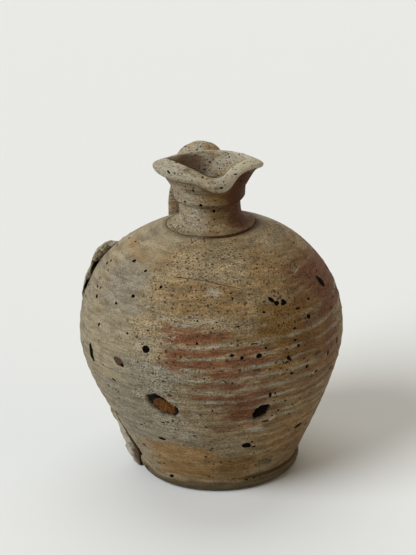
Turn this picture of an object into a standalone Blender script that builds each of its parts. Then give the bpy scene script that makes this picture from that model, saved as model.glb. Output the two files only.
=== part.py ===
"""Wood-fired stoneware jug: a thrown body and neck, a strap handle, and what the kiln left on it.

Metres, +Z up. The origin is the middle of the foot's flat underside, the spout points along -Y and
the handle stands at +Y. An azimuth is measured from -Y towards +X.
"""
import bisect
import bmesh
import bpy
from math import cos, degrees, hypot, pi, radians, remainder, sin
from mathutils import Vector

mm = 0.001

# Gap between pieces that touch
clearance = 0.3 * mm

# Thrown body: foot, wall and shoulder
foot_radius = 68.6 * mm
foot_edge_round = 8.2 * mm
foot_band_height = 10.7 * mm
foot_groove_depth = 1.5 * mm
foot_groove_width = 1.3 * mm
belly_radius = 110.4 * mm
belly_height = 124 * mm
lower_wall_pull = 39.2 * mm
lower_wall_spread = 18.4 * mm
belly_pull_below = 29.2 * mm
belly_pull_above = 43.6 * mm
shoulder_pull_out = 47.7 * mm
shoulder_pull_down = 13.2 * mm
shoulder_edge_radius = 37 * mm
shoulder_edge_height = 215 * mm
wall_thickness = 8 * mm
floor_thickness = 9 * mm

# The thrower's drift: how far the pot's axis stands to -X of the foot's middle
belly_drift = 3.4 * mm
neck_drift = 1 * mm
rim_drift = 2 * mm
shoulder_turn_height = 183 * mm

# Seat in the shoulder that the neck is luted on
seat_depth = 1.4 * mm
seat_edge_width = 0.8 * mm
body_mouth_radius = 27 * mm
neck_base_height = shoulder_edge_height - seat_depth + clearance

# Neck, with heights over its base: a cove up to the waist, a stepped ridge, a collar
neck_base_radius = 35.6 * mm
neck_bead_radius = 36.2 * mm
neck_bead_height = 1.7 * mm
waist_radius = 25.2 * mm
waist_low_height = 13.6 * mm
waist_high_height = 19 * mm
ridge_radius = 29 * mm
ridge_height = 22.4 * mm
collar_radius = 30 * mm
collar_height = 33 * mm
throat_radius = 20.5 * mm
throat_height = 21 * mm
neck_bore_radius = 26.5 * mm

# Lip, over the collar: its crest inside and its edge outside
lip_flare_height = 19.6 * mm
rim_height = neck_base_height + collar_height + lip_flare_height
mouth_radius = 33 * mm
lip_radius = 42 * mm
lip_thickness = 6 * mm
lip_crest_width = 2.5 * mm
lip_edge_round = 0.8 * mm
lip_inner_round = 0.5 * mm
lip_inner_depth = 3 * mm
lip_underside_width = 6 * mm

# How far the wings and the spout are pulled out of the lip
left_wing_rise = 7.5 * mm
right_wing_rise = 5.2 * mm
left_tip_rise = 2.6 * mm
right_edge_rise = 5 * mm
spout_crest_drop = 2.5 * mm
spout_edge_drop = 4 * mm
spout_crest_reach = 5 * mm
spout_edge_reach = 3.5 * mm
tip_reach = 2.6 * mm
flank_crest_pinch = 1 * mm
flank_edge_pinch = 2 * mm

# Waves in the lip: the azimuth of each one's middle and its half width, in degrees
left_wing_angles = (-68, 75)
right_wing_angles = (50, 60)
left_tip_angles = (-100, 42)
right_tip_angles = (72, 40)
right_edge_angles = (48, 40)
left_flank_angles = (-54, 34)
right_flank_angles = (30, 28)
spout_crest_angles = (-4, 30)
spout_edge_angles = (1, 32)

# Strap handle, from the collar up behind the lip and down to its landing on the shoulder
handle_foot_stand = 3.3 * mm
handle_top_drop = 6.1 * mm
handle_lip_gap = 36 * mm
handle_reach = lip_radius + handle_lip_gap
handle_width = 33 * mm
handle_foot_spread = 8 * mm
handle_thickness = 12.5 * mm
handle_root_swell = 4 * mm
handle_swing = 5 * mm
handle_seat_search = 25 * mm

# The strap's centre line, as shares of the way from the collar to its reach, of its rise and of its swing
handle_out_shares = (0.22, 0.32, 0.44, 0.57, 0.71, 0.87, 0.97, 1.0, 0.943)
handle_up_shares = (0.73, 0.765, 0.865, 0.965, 1.0, 0.9, 0.632, 0.285, 0.0)
handle_side_shares = (0.9, 0.95, 1.0, 1.0, 0.9, 0.6, 0.2, -0.2, -0.3)
handle_seat_shares = (1, 0.8, 0.55, 0.28)
handle_spread_shares = (0.45, 0.9)
handle_swell_share = 0.3

# Kiln fragment fused to the shoulder
shard_low_height = 152 * mm
shard_high_height = 190.5 * mm
shard_thickness = 7.8 * mm
shard_thin_edge = 1.2 * mm
shard_hollow_depth = 3 * mm

# Its edges' azimuths in degrees, its lift and its two hollows, at shares of the way up it and across it
shard_near_angles = ((0, -97), (0.3, -101), (0.6, -108), (1, -113))
shard_far_angles = ((0, -112), (0.3, -124), (0.7, -132), (1, -126))
shard_up_shares = ((0, 0.12), (0.15, 0.38), (0.5, 0.62), (0.8, 1), (0.93, 0.85), (1, 0.3))
shard_across_shares = ((0, 0.3), (0.25, 0.7), (0.8, 1), (1, 0.85))
shard_hollow_up_shares = ((0, 0), (0.1, 0), (0.2, 1), (0.28, 1), (0.36, 0), (0.44, 1), (0.56, 1), (0.64, 0),
                          (1, 0))
shard_hollow_across_shares = ((0, 0.5), (1, 0.9))

# Clay flap on the lower wall, down to the ground
wad_low_height = 0.8 * mm
wad_high_height = 61 * mm
wad_thickness = 12.5 * mm
wad_thin_edge = 1.2 * mm

# Its edges' azimuths in degrees and its lift, at shares of the way up it and across it
wad_near_angles = ((0, -92), (0.25, -90), (0.5, -84), (0.75, -77), (1, -74))
wad_far_angles = ((0, -128), (0.5, -132), (1, -100))
wad_up_shares = ((0, 0.45), (0.22, 0.95), (0.45, 0.62), (0.75, 0.2), (1, 0.1))
wad_across_shares = ((0, 0.25), (0.3, 1), (0.8, 0.85), (1, 0.45))

# Stones in the wall: half length, half width, height and azimuth of each socket, and its tilt from the level
left_socket_length = 15.5 * mm
left_socket_width = 10 * mm
left_socket_height = 93.5 * mm
left_socket_azimuth = radians(-35.6)
left_socket_tilt = radians(-32)
right_socket_length = 9 * mm
right_socket_width = 6 * mm
right_socket_height = 85 * mm
right_socket_azimuth = radians(9.6)
right_socket_tilt = radians(42)
socket_depth = 5.5 * mm
pebble_size_share = 0.74
pebble_depth_share = 0.44

# How fine the turned pieces, the strap and the slabs on the wall are
segments = 60
fine_wall_steps = 40
lower_wall_steps = 10
upper_wall_steps = 12
lower_hollow_steps = 4
upper_hollow_steps = 7
foot_edge_steps = 4
cove_steps = 6
curve_steps = 3
strap_points = 20
seat_search_steps = 24
shard_steps_up = 18
shard_steps_across = 7
wad_steps_up = 14
wad_steps_across = 12
socket_rings = 10
pebble_rings = 8
sharp_angle = radians(40)
full_turn_angle = 360


def bezier(start, start_pull, end_pull, end, steps):
    """Points of a cubic curve from its end points and the points that pull it."""
    corners = (start, start_pull, end_pull, end)
    points = []
    for step in range(steps + 1):
        t = step / steps
        s = 1 - t
        weights = (s ** 3, 3 * s * s * t, 3 * s * t * t, t ** 3)
        points.append(tuple(sum(w * c[k] for w, c in zip(weights, corners)) for k in range(len(start))))
    return points


def smooth_curve(points):
    """A Catmull-Rom curve through the points."""
    vectors = [Vector(p) for p in points]
    first = 2 * vectors[0] - vectors[1]
    last = 2 * vectors[-1] - vectors[-2]
    padded = [first] + vectors + [last]
    curve = []
    for k in range(1, len(padded) - 2):
        a, b, c, d = padded[k - 1:k + 3]
        for step in range(curve_steps):
            t = step / curve_steps
            curve.append((2 * b + (c - a) * t + (2 * a - 5 * b + 4 * c - d) * t ** 2
                          + (3 * b - 3 * c + d - a) * t ** 3) / 2)
    curve.append(vectors[-1])
    return curve


def ease(low, high, value):
    """0 below low, 1 above high, and smooth between them."""
    t = min(max((value - low) / (high - low), 0), 1)
    return t * t * (3 - 2 * t)


def bump(angles, angle):
    """1 at a wave's middle and 0 from its half width on, in degrees round a circle."""
    middle, half_width = angles
    distance = abs(remainder(angle - middle, full_turn_angle))
    return (1 + cos(pi * distance / half_width)) / 2 if distance < half_width else 0


def between(shares, t):
    """The value at t, from 0 to 1, of a list of (place, value) pairs."""
    for (low, low_value), (high, high_value) in zip(shares, shares[1:]):
        if t <= high:
            return low_value + (high_value - low_value) * ease(low, high, t)
    return shares[-1][1]


def axis_at(height):
    """The axis's place along X at a height."""
    to_belly = ease(0, belly_height, height)
    to_neck = ease(shoulder_turn_height, shoulder_edge_height, height)
    to_rim = ease(shoulder_edge_height, rim_height, height)
    return -belly_drift * to_belly + (belly_drift - neck_drift) * to_neck - (rim_drift - neck_drift) * to_rim


def on_ring(radius, azimuth, height):
    """A point at a radius from the drifting axis."""
    return Vector((axis_at(height) + radius * sin(azimuth), -radius * cos(azimuth), height))


def ring(radius, height):
    return [on_ring(radius, 2 * pi * k / segments, height) for k in range(segments)]


def body_wall(lower_steps, upper_steps):
    """The body's outer wall, as radius and height, from the groove over the foot to the shoulder's edge."""
    start_radius = foot_radius - foot_groove_depth
    start_height = foot_band_height + foot_groove_width
    belly = (belly_radius, belly_height)
    lower = bezier((start_radius, start_height),
                   (start_radius + lower_wall_spread, start_height + lower_wall_pull),
                   (belly_radius, belly_height - belly_pull_below), belly, lower_steps)
    upper = bezier(belly, (belly_radius, belly_height + belly_pull_above),
                   (shoulder_edge_radius + shoulder_pull_out, shoulder_edge_height - shoulder_pull_down),
                   (shoulder_edge_radius, shoulder_edge_height), upper_steps)
    return lower + upper[1:]


wall_line = body_wall(fine_wall_steps, fine_wall_steps)
wall_heights = [point[1] for point in wall_line]


def wall_at(height):
    """The wall's radius at a height, and its outward normal as radius and height."""
    k = min(max(bisect.bisect_left(wall_heights, height), 1), len(wall_line) - 1)
    (r0, z0), (r1, z1) = wall_line[k - 1], wall_line[k]
    share = min(max((height - z0) / (z1 - z0), 0), 1)
    length = hypot(r1 - r0, z1 - z0)
    return r0 + (r1 - r0) * share, (z1 - z0) / length, (r0 - r1) / length


def shoulder_height(radius):
    """The height at which the shoulder's wall has a radius."""
    for (r0, z0), (r1, z1) in zip(wall_line, wall_line[1:]):
        if z0 >= belly_height and r0 >= radius >= r1:
            return z0 + (z1 - z0) * (r0 - radius) / (r0 - r1)
    return belly_height


def on_wall(azimuth, height, lift):
    """A point that stands off the body's wall by the lift. Low down, the foot's band is what it clears."""
    radius, out, up = wall_at(height)
    if height < belly_height and radius < foot_radius:
        radius, out, up = foot_radius, 1, 0
    return on_ring(radius, azimuth, height) + lift * Vector((out * sin(azimuth), -out * cos(azimuth), up))


def inner_wall():
    """The hollow's wall: the outer wall moved in by the wall's thickness, from the top down."""
    points = []
    for radius, height in body_wall(lower_hollow_steps, upper_hollow_steps):
        _, out, up = wall_at(height)
        points.append((radius - wall_thickness * out, height - wall_thickness * up))
    return list(reversed(points))


def material(name, colour, roughness):
    made = bpy.data.materials.new(name)
    made.use_nodes = True
    shader = made.node_tree.nodes["Principled BSDF"]
    shader.inputs["Base Color"].default_value = (*colour, 1)
    shader.inputs["Roughness"].default_value = roughness
    shader.inputs["Metallic"].default_value = 0
    return made


def add_object(name, skin, finish):
    """A named object from a filled bmesh, shaded smooth with its sharp edges kept."""
    mesh = bpy.data.meshes.new(name)
    skin.normal_update()
    skin.to_mesh(mesh)
    skin.free()
    mesh.shade_smooth()
    mesh.set_sharp_from_angle(angle=sharp_angle)
    mesh.materials.append(finish)
    made = bpy.data.objects.new(name, mesh)
    bpy.context.scene.collection.objects.link(made)
    return made


def loft(loops, start_pole=None, end_pole=None, closed=False):
    """A bmesh skinned over loops that run right-handed about the way they follow each other."""
    skin = bmesh.new()
    rows = [[skin.verts.new(point) for point in loop] for loop in loops]
    count = len(rows[0])
    pairs = list(zip(rows, rows[1:]))
    if closed:
        pairs.append((rows[-1], rows[0]))
    for low, high in pairs:
        for k in range(count):
            j = (k + 1) % count
            skin.faces.new((low[k], low[j], high[j], high[k]))
    if start_pole is not None:
        pole = skin.verts.new(start_pole)
        for k in range(count):
            skin.faces.new((pole, rows[0][(k + 1) % count], rows[0][k]))
    if end_pole is not None:
        pole = skin.verts.new(end_pole)
        for k in range(count):
            skin.faces.new((rows[-1][k], rows[-1][(k + 1) % count], pole))
    return skin


def foot_outline():
    """The foot from its flat underside round its worn edge to the groove over its band."""
    points = []
    for step in range(foot_edge_steps + 1):
        turn = pi / 2 * step / foot_edge_steps
        points.append((foot_radius - foot_edge_round * (1 - sin(turn)),
                       foot_edge_round * (1 - cos(turn))))
    points.append((foot_radius, foot_band_height))
    return points


def body_outline():
    """The body's whole section, from the underside's edge to the floor's."""
    seat_height = shoulder_edge_height - seat_depth
    seat = [(shoulder_edge_radius - seat_edge_width, seat_height), (body_mouth_radius, seat_height)]
    hollow = inner_wall()
    throat = [(body_mouth_radius, hollow[0][1])]
    floor = [(hollow[-1][0] - floor_thickness, floor_thickness)]
    outside = foot_outline() + body_wall(lower_wall_steps, upper_wall_steps)
    return outside + seat + throat + hollow[1:] + floor


def make_body(finish):
    loops = [ring(radius, height) for radius, height in body_outline()]
    skin = loft(loops, start_pole=Vector((0, 0, 0)), end_pole=on_ring(0, 0, floor_thickness))
    return add_object("body", skin, finish)


def lip_place(azimuth):
    """The lip's crest radius and height and its edge radius and height at an azimuth."""
    angle = degrees(azimuth)
    left_tip = bump(left_tip_angles, angle)
    tips = left_tip + bump(right_tip_angles, angle)
    flanks = bump(left_flank_angles, angle) + bump(right_flank_angles, angle)
    spout = bump(spout_crest_angles, angle)
    crest_radius = mouth_radius + spout_crest_reach * spout - flank_crest_pinch * flanks
    crest_height = (rim_height + left_wing_rise * bump(left_wing_angles, angle)
                    + right_wing_rise * bump(right_wing_angles, angle) - spout_crest_drop * spout)
    edge_radius = lip_radius + tip_reach * tips + spout_edge_reach * spout - flank_edge_pinch * flanks
    edge_height = (rim_height - lip_thickness + left_tip_rise * left_tip
                   + right_edge_rise * bump(right_edge_angles, angle)
                   - spout_edge_drop * bump(spout_edge_angles, angle))
    return crest_radius, crest_height, edge_radius, edge_height


def neck_outside():
    """The neck's outer section from its base to the top of the collar, as radius and height."""
    points = [(neck_base_radius, neck_base_height),
              (neck_bead_radius, neck_base_height + neck_bead_height / 2)]
    for step in range(cove_steps + 1):
        turn = pi / 2 * step / cove_steps
        rise = waist_low_height - (waist_low_height - neck_bead_height) * cos(turn)
        points.append((neck_bead_radius - (neck_bead_radius - waist_radius) * sin(turn),
                       neck_base_height + rise))
    points.append((waist_radius, neck_base_height + waist_high_height))
    points.append((ridge_radius, neck_base_height + ridge_height))
    points.append((collar_radius, neck_base_height + collar_height))
    return points


def lip_section(azimuth):
    """The lip's section at an azimuth, from the collar's top over the crest to the throat."""
    crest_radius, crest_height, edge_radius, edge_height = lip_place(azimuth)
    guide = [
        (collar_radius, neck_base_height + collar_height),
        (edge_radius - lip_underside_width, edge_height - lip_crest_width),
        (edge_radius - lip_edge_round, edge_height),
        (edge_radius, (edge_height + crest_height) / 2),
        (crest_radius + lip_crest_width, crest_height),
        (crest_radius - lip_inner_round, crest_height - lip_inner_depth),
        ((crest_radius + throat_radius) / 2 - lip_crest_width,
         (crest_height + neck_base_height + throat_height) / 2),
        (throat_radius, neck_base_height + throat_height),
    ]
    return [(point.x, point.y) for point in smooth_curve([(*place, 0) for place in guide])][1:]


def neck_section(azimuth):
    return neck_outside() + lip_section(azimuth) + [(neck_bore_radius, neck_base_height)]


def make_neck(finish):
    azimuths = [2 * pi * k / segments for k in range(segments)]
    sections = [neck_section(azimuth) for azimuth in azimuths]
    loops = []
    for level in range(len(sections[0])):
        loops.append([on_ring(section[level][0], azimuth, section[level][1])
                      for section, azimuth in zip(sections, azimuths)])
    return add_object("neck", loft(loops, closed=True), finish)


def line_radius(line, height):
    """The radius at a height of a section whose heights rise."""
    for (r0, z0), (r1, z1) in zip(line, line[1:]):
        if z0 <= height <= z1:
            return r0 + (r1 - r0) * (height - z0) / (z1 - z0)
    return line[0][0] if height < line[0][1] else line[-1][0]


def neck_back_line():
    """The neck's outer section where the handle meets it, up to the lip's edge."""
    edge = lip_section(pi)
    rising = [edge[0]]
    for point in edge[1:]:
        if point[1] <= rising[-1][1]:
            break
        rising.append(point)
    return neck_outside() + rising


def seated(point, way, line):
    """The point moved along the way until it lies one clearance off the turned surface."""
    outside = 0
    inside = handle_seat_search
    for _ in range(seat_search_steps):
        middle = (outside + inside) / 2
        place = point + way * middle
        gap = hypot(place.x - axis_at(place.z), place.y) - line_radius(line, place.z)
        if gap > clearance:
            outside = middle
        else:
            inside = middle
    return point + way * outside


def handle_path():
    """The strap's centre line, from the back of the collar over to the shoulder."""
    outs = [collar_radius + (handle_reach - collar_radius) * share for share in handle_out_shares]
    landing_height = shoulder_height(outs[-1]) + handle_foot_stand
    rise = rim_height - handle_top_drop - landing_height
    return smooth_curve([(handle_swing * side, out, landing_height + rise * up)
                         for out, up, side in zip(outs, handle_up_shares, handle_side_shares)])


def strap_loop(place, way, width, thickness):
    """An oval round the path, right-handed about its way."""
    side = (Vector((1, 0, 0)) - way.x * way).normalized()
    up = way.cross(side)
    loop = []
    for k in range(strap_points):
        turn = 2 * pi * k / strap_points
        loop.append(place + side * (width / 2 * cos(turn)) + up * (thickness / 2 * sin(turn)))
    return loop


def seat_rings(loop, way, line):
    """The loop's seat on a turned surface, as rings from its edge to its middle, and the middle."""
    middle = sum(loop, Vector()) / len(loop)
    rings = [[seated(middle + (point - middle) * share, way, line) for point in loop]
             for share in handle_seat_shares]
    return rings, seated(middle, way, line)


def make_handle(finish):
    path = handle_path()
    ways = [(path[min(k + 1, len(path) - 1)] - path[max(k - 1, 0)]).normalized() for k in range(len(path))]
    loops = []
    for k, (place, way) in enumerate(zip(path, ways)):
        share = k / (len(path) - 1)
        width = handle_width + handle_foot_spread * ease(*handle_spread_shares, share)
        thickness = handle_thickness + handle_root_swell * (1 - ease(0, handle_swell_share, share))
        loops.append(strap_loop(place, way, width, thickness))
    top_rings, top_pole = seat_rings(loops[0], Vector((0, -1, 0)), neck_back_line())
    foot_rings, foot_pole = seat_rings(loops[-1], ways[-1], wall_line)
    skin = loft(list(reversed(top_rings)) + loops + foot_rings, start_pole=top_pole, end_pole=foot_pole)
    return add_object("handle", skin, finish)


def patch(stations):
    """A bmesh of a slab that lies on the wall. Each station has its outer points and its inner ones."""
    skin = bmesh.new()
    outer = [[skin.verts.new(point) for point in station[0]] for station in stations]
    inner = [[skin.verts.new(point) for point in station[1]] for station in stations]
    count = len(outer[0])
    for k in range(len(stations) - 1):
        for j in range(count - 1):
            skin.faces.new((outer[k][j], outer[k][j + 1], outer[k + 1][j + 1], outer[k + 1][j]))
            skin.faces.new((inner[k][j], inner[k + 1][j], inner[k + 1][j + 1], inner[k][j + 1]))
        skin.faces.new((inner[k][0], outer[k][0], outer[k + 1][0], inner[k + 1][0]))
        skin.faces.new((outer[k][-1], inner[k][-1], inner[k + 1][-1], outer[k + 1][-1]))
    for j in range(count - 1):
        skin.faces.new((outer[0][j + 1], outer[0][j], inner[0][j], inner[0][j + 1]))
        skin.faces.new((outer[-1][j], outer[-1][j + 1], inner[-1][j + 1], inner[-1][j]))
    return skin


def slab_stations(low, high, steps_up, steps_across, near_angles, far_angles, lifts):
    """Stations up the wall. lifts(t, s) gives the outer and the inner lift at shares up and across."""
    stations = []
    for step in range(steps_up + 1):
        t = step / steps_up
        height = low + (high - low) * t
        near = radians(between(near_angles, t))
        far = radians(between(far_angles, t))
        outer = []
        inner = []
        for k in range(steps_across + 1):
            s = k / steps_across
            azimuth = far + (near - far) * s
            top, bottom = lifts(t, s)
            outer.append(on_wall(azimuth, height, clearance + top))
            inner.append(on_wall(azimuth, height, clearance + bottom))
        stations.append((outer, inner))
    return stations


def shard_lifts(t, s):
    """The shard's outer and inner lift: thick at its near edge, with two hollows through it below."""
    outer = shard_thickness * between(shard_up_shares, t) * between(shard_across_shares, s)
    hollow = (shard_hollow_depth * between(shard_hollow_up_shares, t)
              * between(shard_hollow_across_shares, s))
    return max(outer, hollow + shard_thin_edge), min(hollow, outer)


def make_shard(finish):
    stations = slab_stations(shard_low_height, shard_high_height, shard_steps_up, shard_steps_across,
                             shard_near_angles, shard_far_angles, shard_lifts)
    return add_object("shoulder_shard", patch(stations), finish)


def wad_lifts(t, s):
    lift = wad_thickness * between(wad_up_shares, t) * between(wad_across_shares, s)
    return max(lift, wad_thin_edge), 0


def make_wad(finish):
    stations = slab_stations(wad_low_height, wad_high_height, wad_steps_up, wad_steps_across,
                             wad_near_angles, wad_far_angles, wad_lifts)
    return add_object("foot_wad", patch(stations), finish)


def ellipsoid(name, half_sizes, azimuth, height, tilt, depth, rings, finish):
    """A stone-shaped solid sunk in the wall, its long way tilted from the level."""
    length, width, thickness = half_sizes
    _, out, up = wall_at(height)
    level = Vector((cos(azimuth), sin(azimuth), 0))
    normal = Vector((out * sin(azimuth), -out * cos(azimuth), up))
    long_way = level * cos(tilt) + normal.cross(level) * sin(tilt)
    short_way = normal.cross(long_way)
    middle = on_wall(azimuth, height, -depth)
    sides = 2 * rings
    loops = []
    for k in range(1, rings):
        polar = pi * k / rings
        loop = []
        for j in range(sides):
            turn = 2 * pi * j / sides
            loop.append(middle - normal * (thickness * cos(polar))
                        + long_way * (length * sin(polar) * cos(turn))
                        + short_way * (width * sin(polar) * sin(turn)))
        loops.append(loop)
    skin = loft(loops, start_pole=middle - normal * thickness, end_pole=middle + normal * thickness)
    return add_object(name, skin, finish)


def set_stone(body, side, length, width, azimuth, height, tilt, finish):
    """Cuts a socket in the body's wall and lays a stone in it."""
    socket = ellipsoid(f"socket_{side}", (length, width, socket_depth), azimuth, height, tilt, 0,
                       socket_rings, finish)
    socket.hide_render = True
    socket.display_type = 'WIRE'
    cut = body.modifiers.new(f"socket_{side}", 'BOOLEAN')
    cut.operation = 'DIFFERENCE'
    cut.solver = 'EXACT'
    cut.object = socket
    half_depth = socket_depth * pebble_depth_share
    half_sizes = (length * pebble_size_share, width * pebble_size_share, half_depth)
    ellipsoid(f"ironstone_pebble_{side}", half_sizes, azimuth, height, tilt,
              socket_depth - half_depth - clearance, pebble_rings, finish)


def main():
    for existing in list(bpy.data.objects):
        bpy.data.objects.remove(existing)
    body = make_body(material("stoneware_body", (0.36, 0.29, 0.21), 0.8))
    make_neck(material("stoneware_neck", (0.34, 0.29, 0.22), 0.8))
    make_handle(material("stoneware_handle", (0.38, 0.29, 0.19), 0.8))
    make_shard(material("kiln_shard", (0.17, 0.16, 0.12), 0.9))
    make_wad(material("clay_wad", (0.32, 0.28, 0.2), 0.85))
    set_stone(body, "left", left_socket_length, left_socket_width, left_socket_azimuth,
              left_socket_height, left_socket_tilt, material("brown_ironstone", (0.3, 0.15, 0.06), 0.7))
    set_stone(body, "right", right_socket_length, right_socket_width, right_socket_azimuth,
              right_socket_height, right_socket_tilt, material("black_ironstone", (0.02, 0.02, 0.02), 0.45))


main()
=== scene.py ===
"""Looks of the wood-fired stoneware jug: fine meshes, kiln colours, iron marks, studio light and camera.

Metres, +Z up, in the frame of the solids. The spout points along -Y and the handle stands at +Y. An azimuth
is measured from -Y towards +X. In the tables of colours and marks it starts at the azimuth that faces the
camera instead, in degrees, and heights and sizes there are in millimetres. A grain is the size of noise's
patches along X, Y and Z, with its seed. A roughness is one size, its seed and how many layers it has.
"""
from itertools import product
from math import cos, pi, radians, sin
import bpy
import numpy as np
from mathutils import Matrix, Vector
from mathutils.bvhtree import BVHTree


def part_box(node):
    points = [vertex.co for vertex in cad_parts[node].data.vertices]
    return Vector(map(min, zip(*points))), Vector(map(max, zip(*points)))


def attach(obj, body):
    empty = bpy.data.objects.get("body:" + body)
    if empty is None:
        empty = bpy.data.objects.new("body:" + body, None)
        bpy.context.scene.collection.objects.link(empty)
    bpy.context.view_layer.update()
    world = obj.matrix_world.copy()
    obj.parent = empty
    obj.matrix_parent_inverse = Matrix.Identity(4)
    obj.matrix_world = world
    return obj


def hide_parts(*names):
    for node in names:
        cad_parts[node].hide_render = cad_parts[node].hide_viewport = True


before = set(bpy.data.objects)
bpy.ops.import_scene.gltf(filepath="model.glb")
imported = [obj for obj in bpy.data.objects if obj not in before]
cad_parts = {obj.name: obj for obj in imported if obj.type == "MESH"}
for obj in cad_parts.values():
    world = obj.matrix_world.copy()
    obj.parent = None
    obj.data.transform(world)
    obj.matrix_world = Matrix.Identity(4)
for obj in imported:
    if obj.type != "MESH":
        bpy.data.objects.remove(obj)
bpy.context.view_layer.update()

mm = 0.001
full_turn = 360

# Sizes read from the solids
body_low, body_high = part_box("body")
belly_radius = (body_high.x - body_low.x) / 2
shoulder_edge_height = body_high.z
neck_base_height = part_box("neck")[0].z

# Thrown body, as in the solids
foot_radius = 68.6 * mm
foot_edge_round = 8.2 * mm
foot_band_height = 10.7 * mm
foot_groove_depth = 1.5 * mm
foot_groove_width = 1.3 * mm
belly_height = 124 * mm
lower_wall_pull = 39.2 * mm
lower_wall_spread = 18.4 * mm
belly_pull_below = 29.2 * mm
belly_pull_above = 43.6 * mm
shoulder_pull_out = 47.7 * mm
shoulder_pull_down = 13.2 * mm
shoulder_edge_radius = 37 * mm
wall_thickness = 8 * mm
floor_thickness = 9 * mm
seat_depth = 1.4 * mm
seat_edge_width = 0.8 * mm
body_mouth_radius = 27 * mm

# Drift of the pot's axis to -X
belly_drift = 3.4 * mm
neck_drift = 1 * mm
rim_drift = 2 * mm
shoulder_turn_height = 183 * mm

# Neck, with heights over its base
neck_base_radius = 35.6 * mm
neck_bead_radius = 36.2 * mm
neck_bead_height = 1.7 * mm
waist_radius = 25.2 * mm
waist_low_height = 13.6 * mm
waist_high_height = 20.6 * mm
ridge_radius = 29 * mm
ridge_height = 24 * mm
collar_radius = 30 * mm
collar_height = 33 * mm
throat_radius = 20.5 * mm
throat_height = 21 * mm
neck_bore_radius = 26.5 * mm

# Lip
lip_flare_height = 19.6 * mm
rim_height = neck_base_height + collar_height + lip_flare_height
mouth_radius = 33 * mm
lip_radius = 42 * mm
lip_thickness = 6 * mm
lip_crest_width = 2.5 * mm
lip_edge_round = 0.8 * mm
lip_inner_round = 0.5 * mm
lip_inner_depth = 3 * mm
lip_underside_width = 6 * mm

# Wings and spout pulled out of the lip
left_wing_rise = 7.5 * mm
right_wing_rise = 5.2 * mm
left_tip_rise = 2.6 * mm
right_edge_rise = 5 * mm
spout_crest_drop = 2.5 * mm
spout_edge_drop = 7 * mm
spout_crest_reach = 5 * mm
spout_edge_reach = 3.5 * mm
tip_reach = 2.6 * mm
flank_crest_pinch = 1 * mm
flank_edge_pinch = 2 * mm
left_wing_angles = (-68, 75)
right_wing_angles = (50, 60)
left_tip_angles = (-100, 42)
right_tip_angles = (72, 40)
right_edge_angles = (48, 40)
left_flank_angles = (-54, 34)
right_flank_angles = (30, 28)
spout_crest_angles = (-4, 30)
spout_edge_angles = (1, 32)

# Strap handle
handle_foot_stand = 3.3 * mm
handle_top_drop = 6.1 * mm
handle_lip_gap = 36 * mm
handle_reach = lip_radius + handle_lip_gap
handle_width = 35 * mm
handle_foot_spread = 8 * mm
handle_thickness = 12.5 * mm
handle_root_swell = 4 * mm
handle_swing = 5 * mm
handle_arch = 3.5 * mm
handle_out_shares = (-0.28, 0.0, 0.22, 0.32, 0.44, 0.57, 0.71, 0.87, 0.97, 1.0, 0.943)
handle_up_shares = (0.775, 0.77, 0.768, 0.79, 0.87, 0.965, 1.0, 0.9, 0.632, 0.285, 0.0)
handle_side_shares = (0.9, 0.9, 0.9, 0.95, 1.0, 1.0, 0.9, 0.6, 0.2, -0.2, -0.3)
handle_spread_shares = (0.45, 0.85)
handle_swell_share = 0.35
handle_root_sink = 1.5 * mm
handle_root_flare = 5 * mm
handle_root_flare_reach = 11 * mm
handle_foot_falls = (7 * mm, 15 * mm)
handle_foot_lifts = (0.6 * mm, -2.6 * mm)
handle_foot_thin_shares = (0.84, 1)
handle_foot_thinning = 0.7
handle_foot_narrowing = 0.35
handle_end_shares = (0.01, 0.3, 0.65, 0.9)
handle_groove_depth_share = 0.08
handle_groove_place_share = 0.42
handle_groove_width_share = 0.16
handle_uneven = 0.5 * mm
handle_roughnesses = ((13 * mm, 51, 2), (13 * mm, 56, 2), (13 * mm, 57, 2))

# Kiln fragment on the shoulder and clay flap on the lower wall
shard_low_height = 152 * mm
shard_high_height = 190.5 * mm
shard_thickness = 7.8 * mm
shard_hollow_depth = 3 * mm
slab_thin_edge = 0.5 * mm
slab_edge_swing = radians(2.2)
slab_edge_rise = 1.6 * mm
slab_swing_roughness = (9 * mm, 65, 2)
slab_rise_roughness = (9 * mm, 67, 2)
slab_stand = 0.3 * mm
shard_near_angles = ((0, -99.5), (0.15, -98), (0.35, -101.5), (0.6, -107.5), (0.85, -111.5), (1, -115))
shard_far_angles = ((0, -106), (0.12, -113), (0.3, -124), (0.7, -132), (0.88, -130), (1, -123))
shard_up_shares = ((0, 0.1), (0.15, 0.27), (0.5, 0.54), (0.8, 1), (0.93, 0.85), (1, 0.35))
shard_across_shares = ((0, 0.3), (0.25, 0.7), (0.8, 1), (1, 0.85))
shard_hollow_up_shares = ((0, 0), (0.18, 0), (0.27, 0.8), (0.38, 0.8), (0.46, 0), (0.57, 1), (0.68, 1),
                          (0.74, 0), (1, 0))
shard_hollow_across_shares = ((0, 0.5), (1, 0.9))
wad_low_height = 0.8 * mm
wad_high_height = 61 * mm
wad_thickness = 12.5 * mm
wad_near_angles = ((0, -93), (0.25, -91), (0.5, -85), (0.75, -79), (1, -77))
wad_far_angles = ((0, -124), (0.25, -131), (0.5, -127), (0.75, -112), (0.92, -97), (1, -87))
wad_up_shares = ((0, 0.45), (0.22, 0.95), (0.45, 0.62), (0.75, 0.22), (1, 0.12))
wad_across_shares = ((0, 0.3), (0.35, 1), (0.7, 0.95), (0.88, 0.62), (1, 0.16))
shard_round_shares = (0.15, 0.06, 0.08)
shard_lump_rise = 0.6 * mm
shard_lump_roughness = (5 * mm, 61, 3)
shard_pit_rise = 0.4 * mm
shard_pit_grain = ((1.8 * mm,) * 3, 64)
shard_skin_share = 0.3
shard_edge_share = 0.4
shard_edge_shares = (0, 0.12, 0.9, 1)
shard_raw_shares = (0.9, 1)
shard_raw_swing = 0.08
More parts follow.
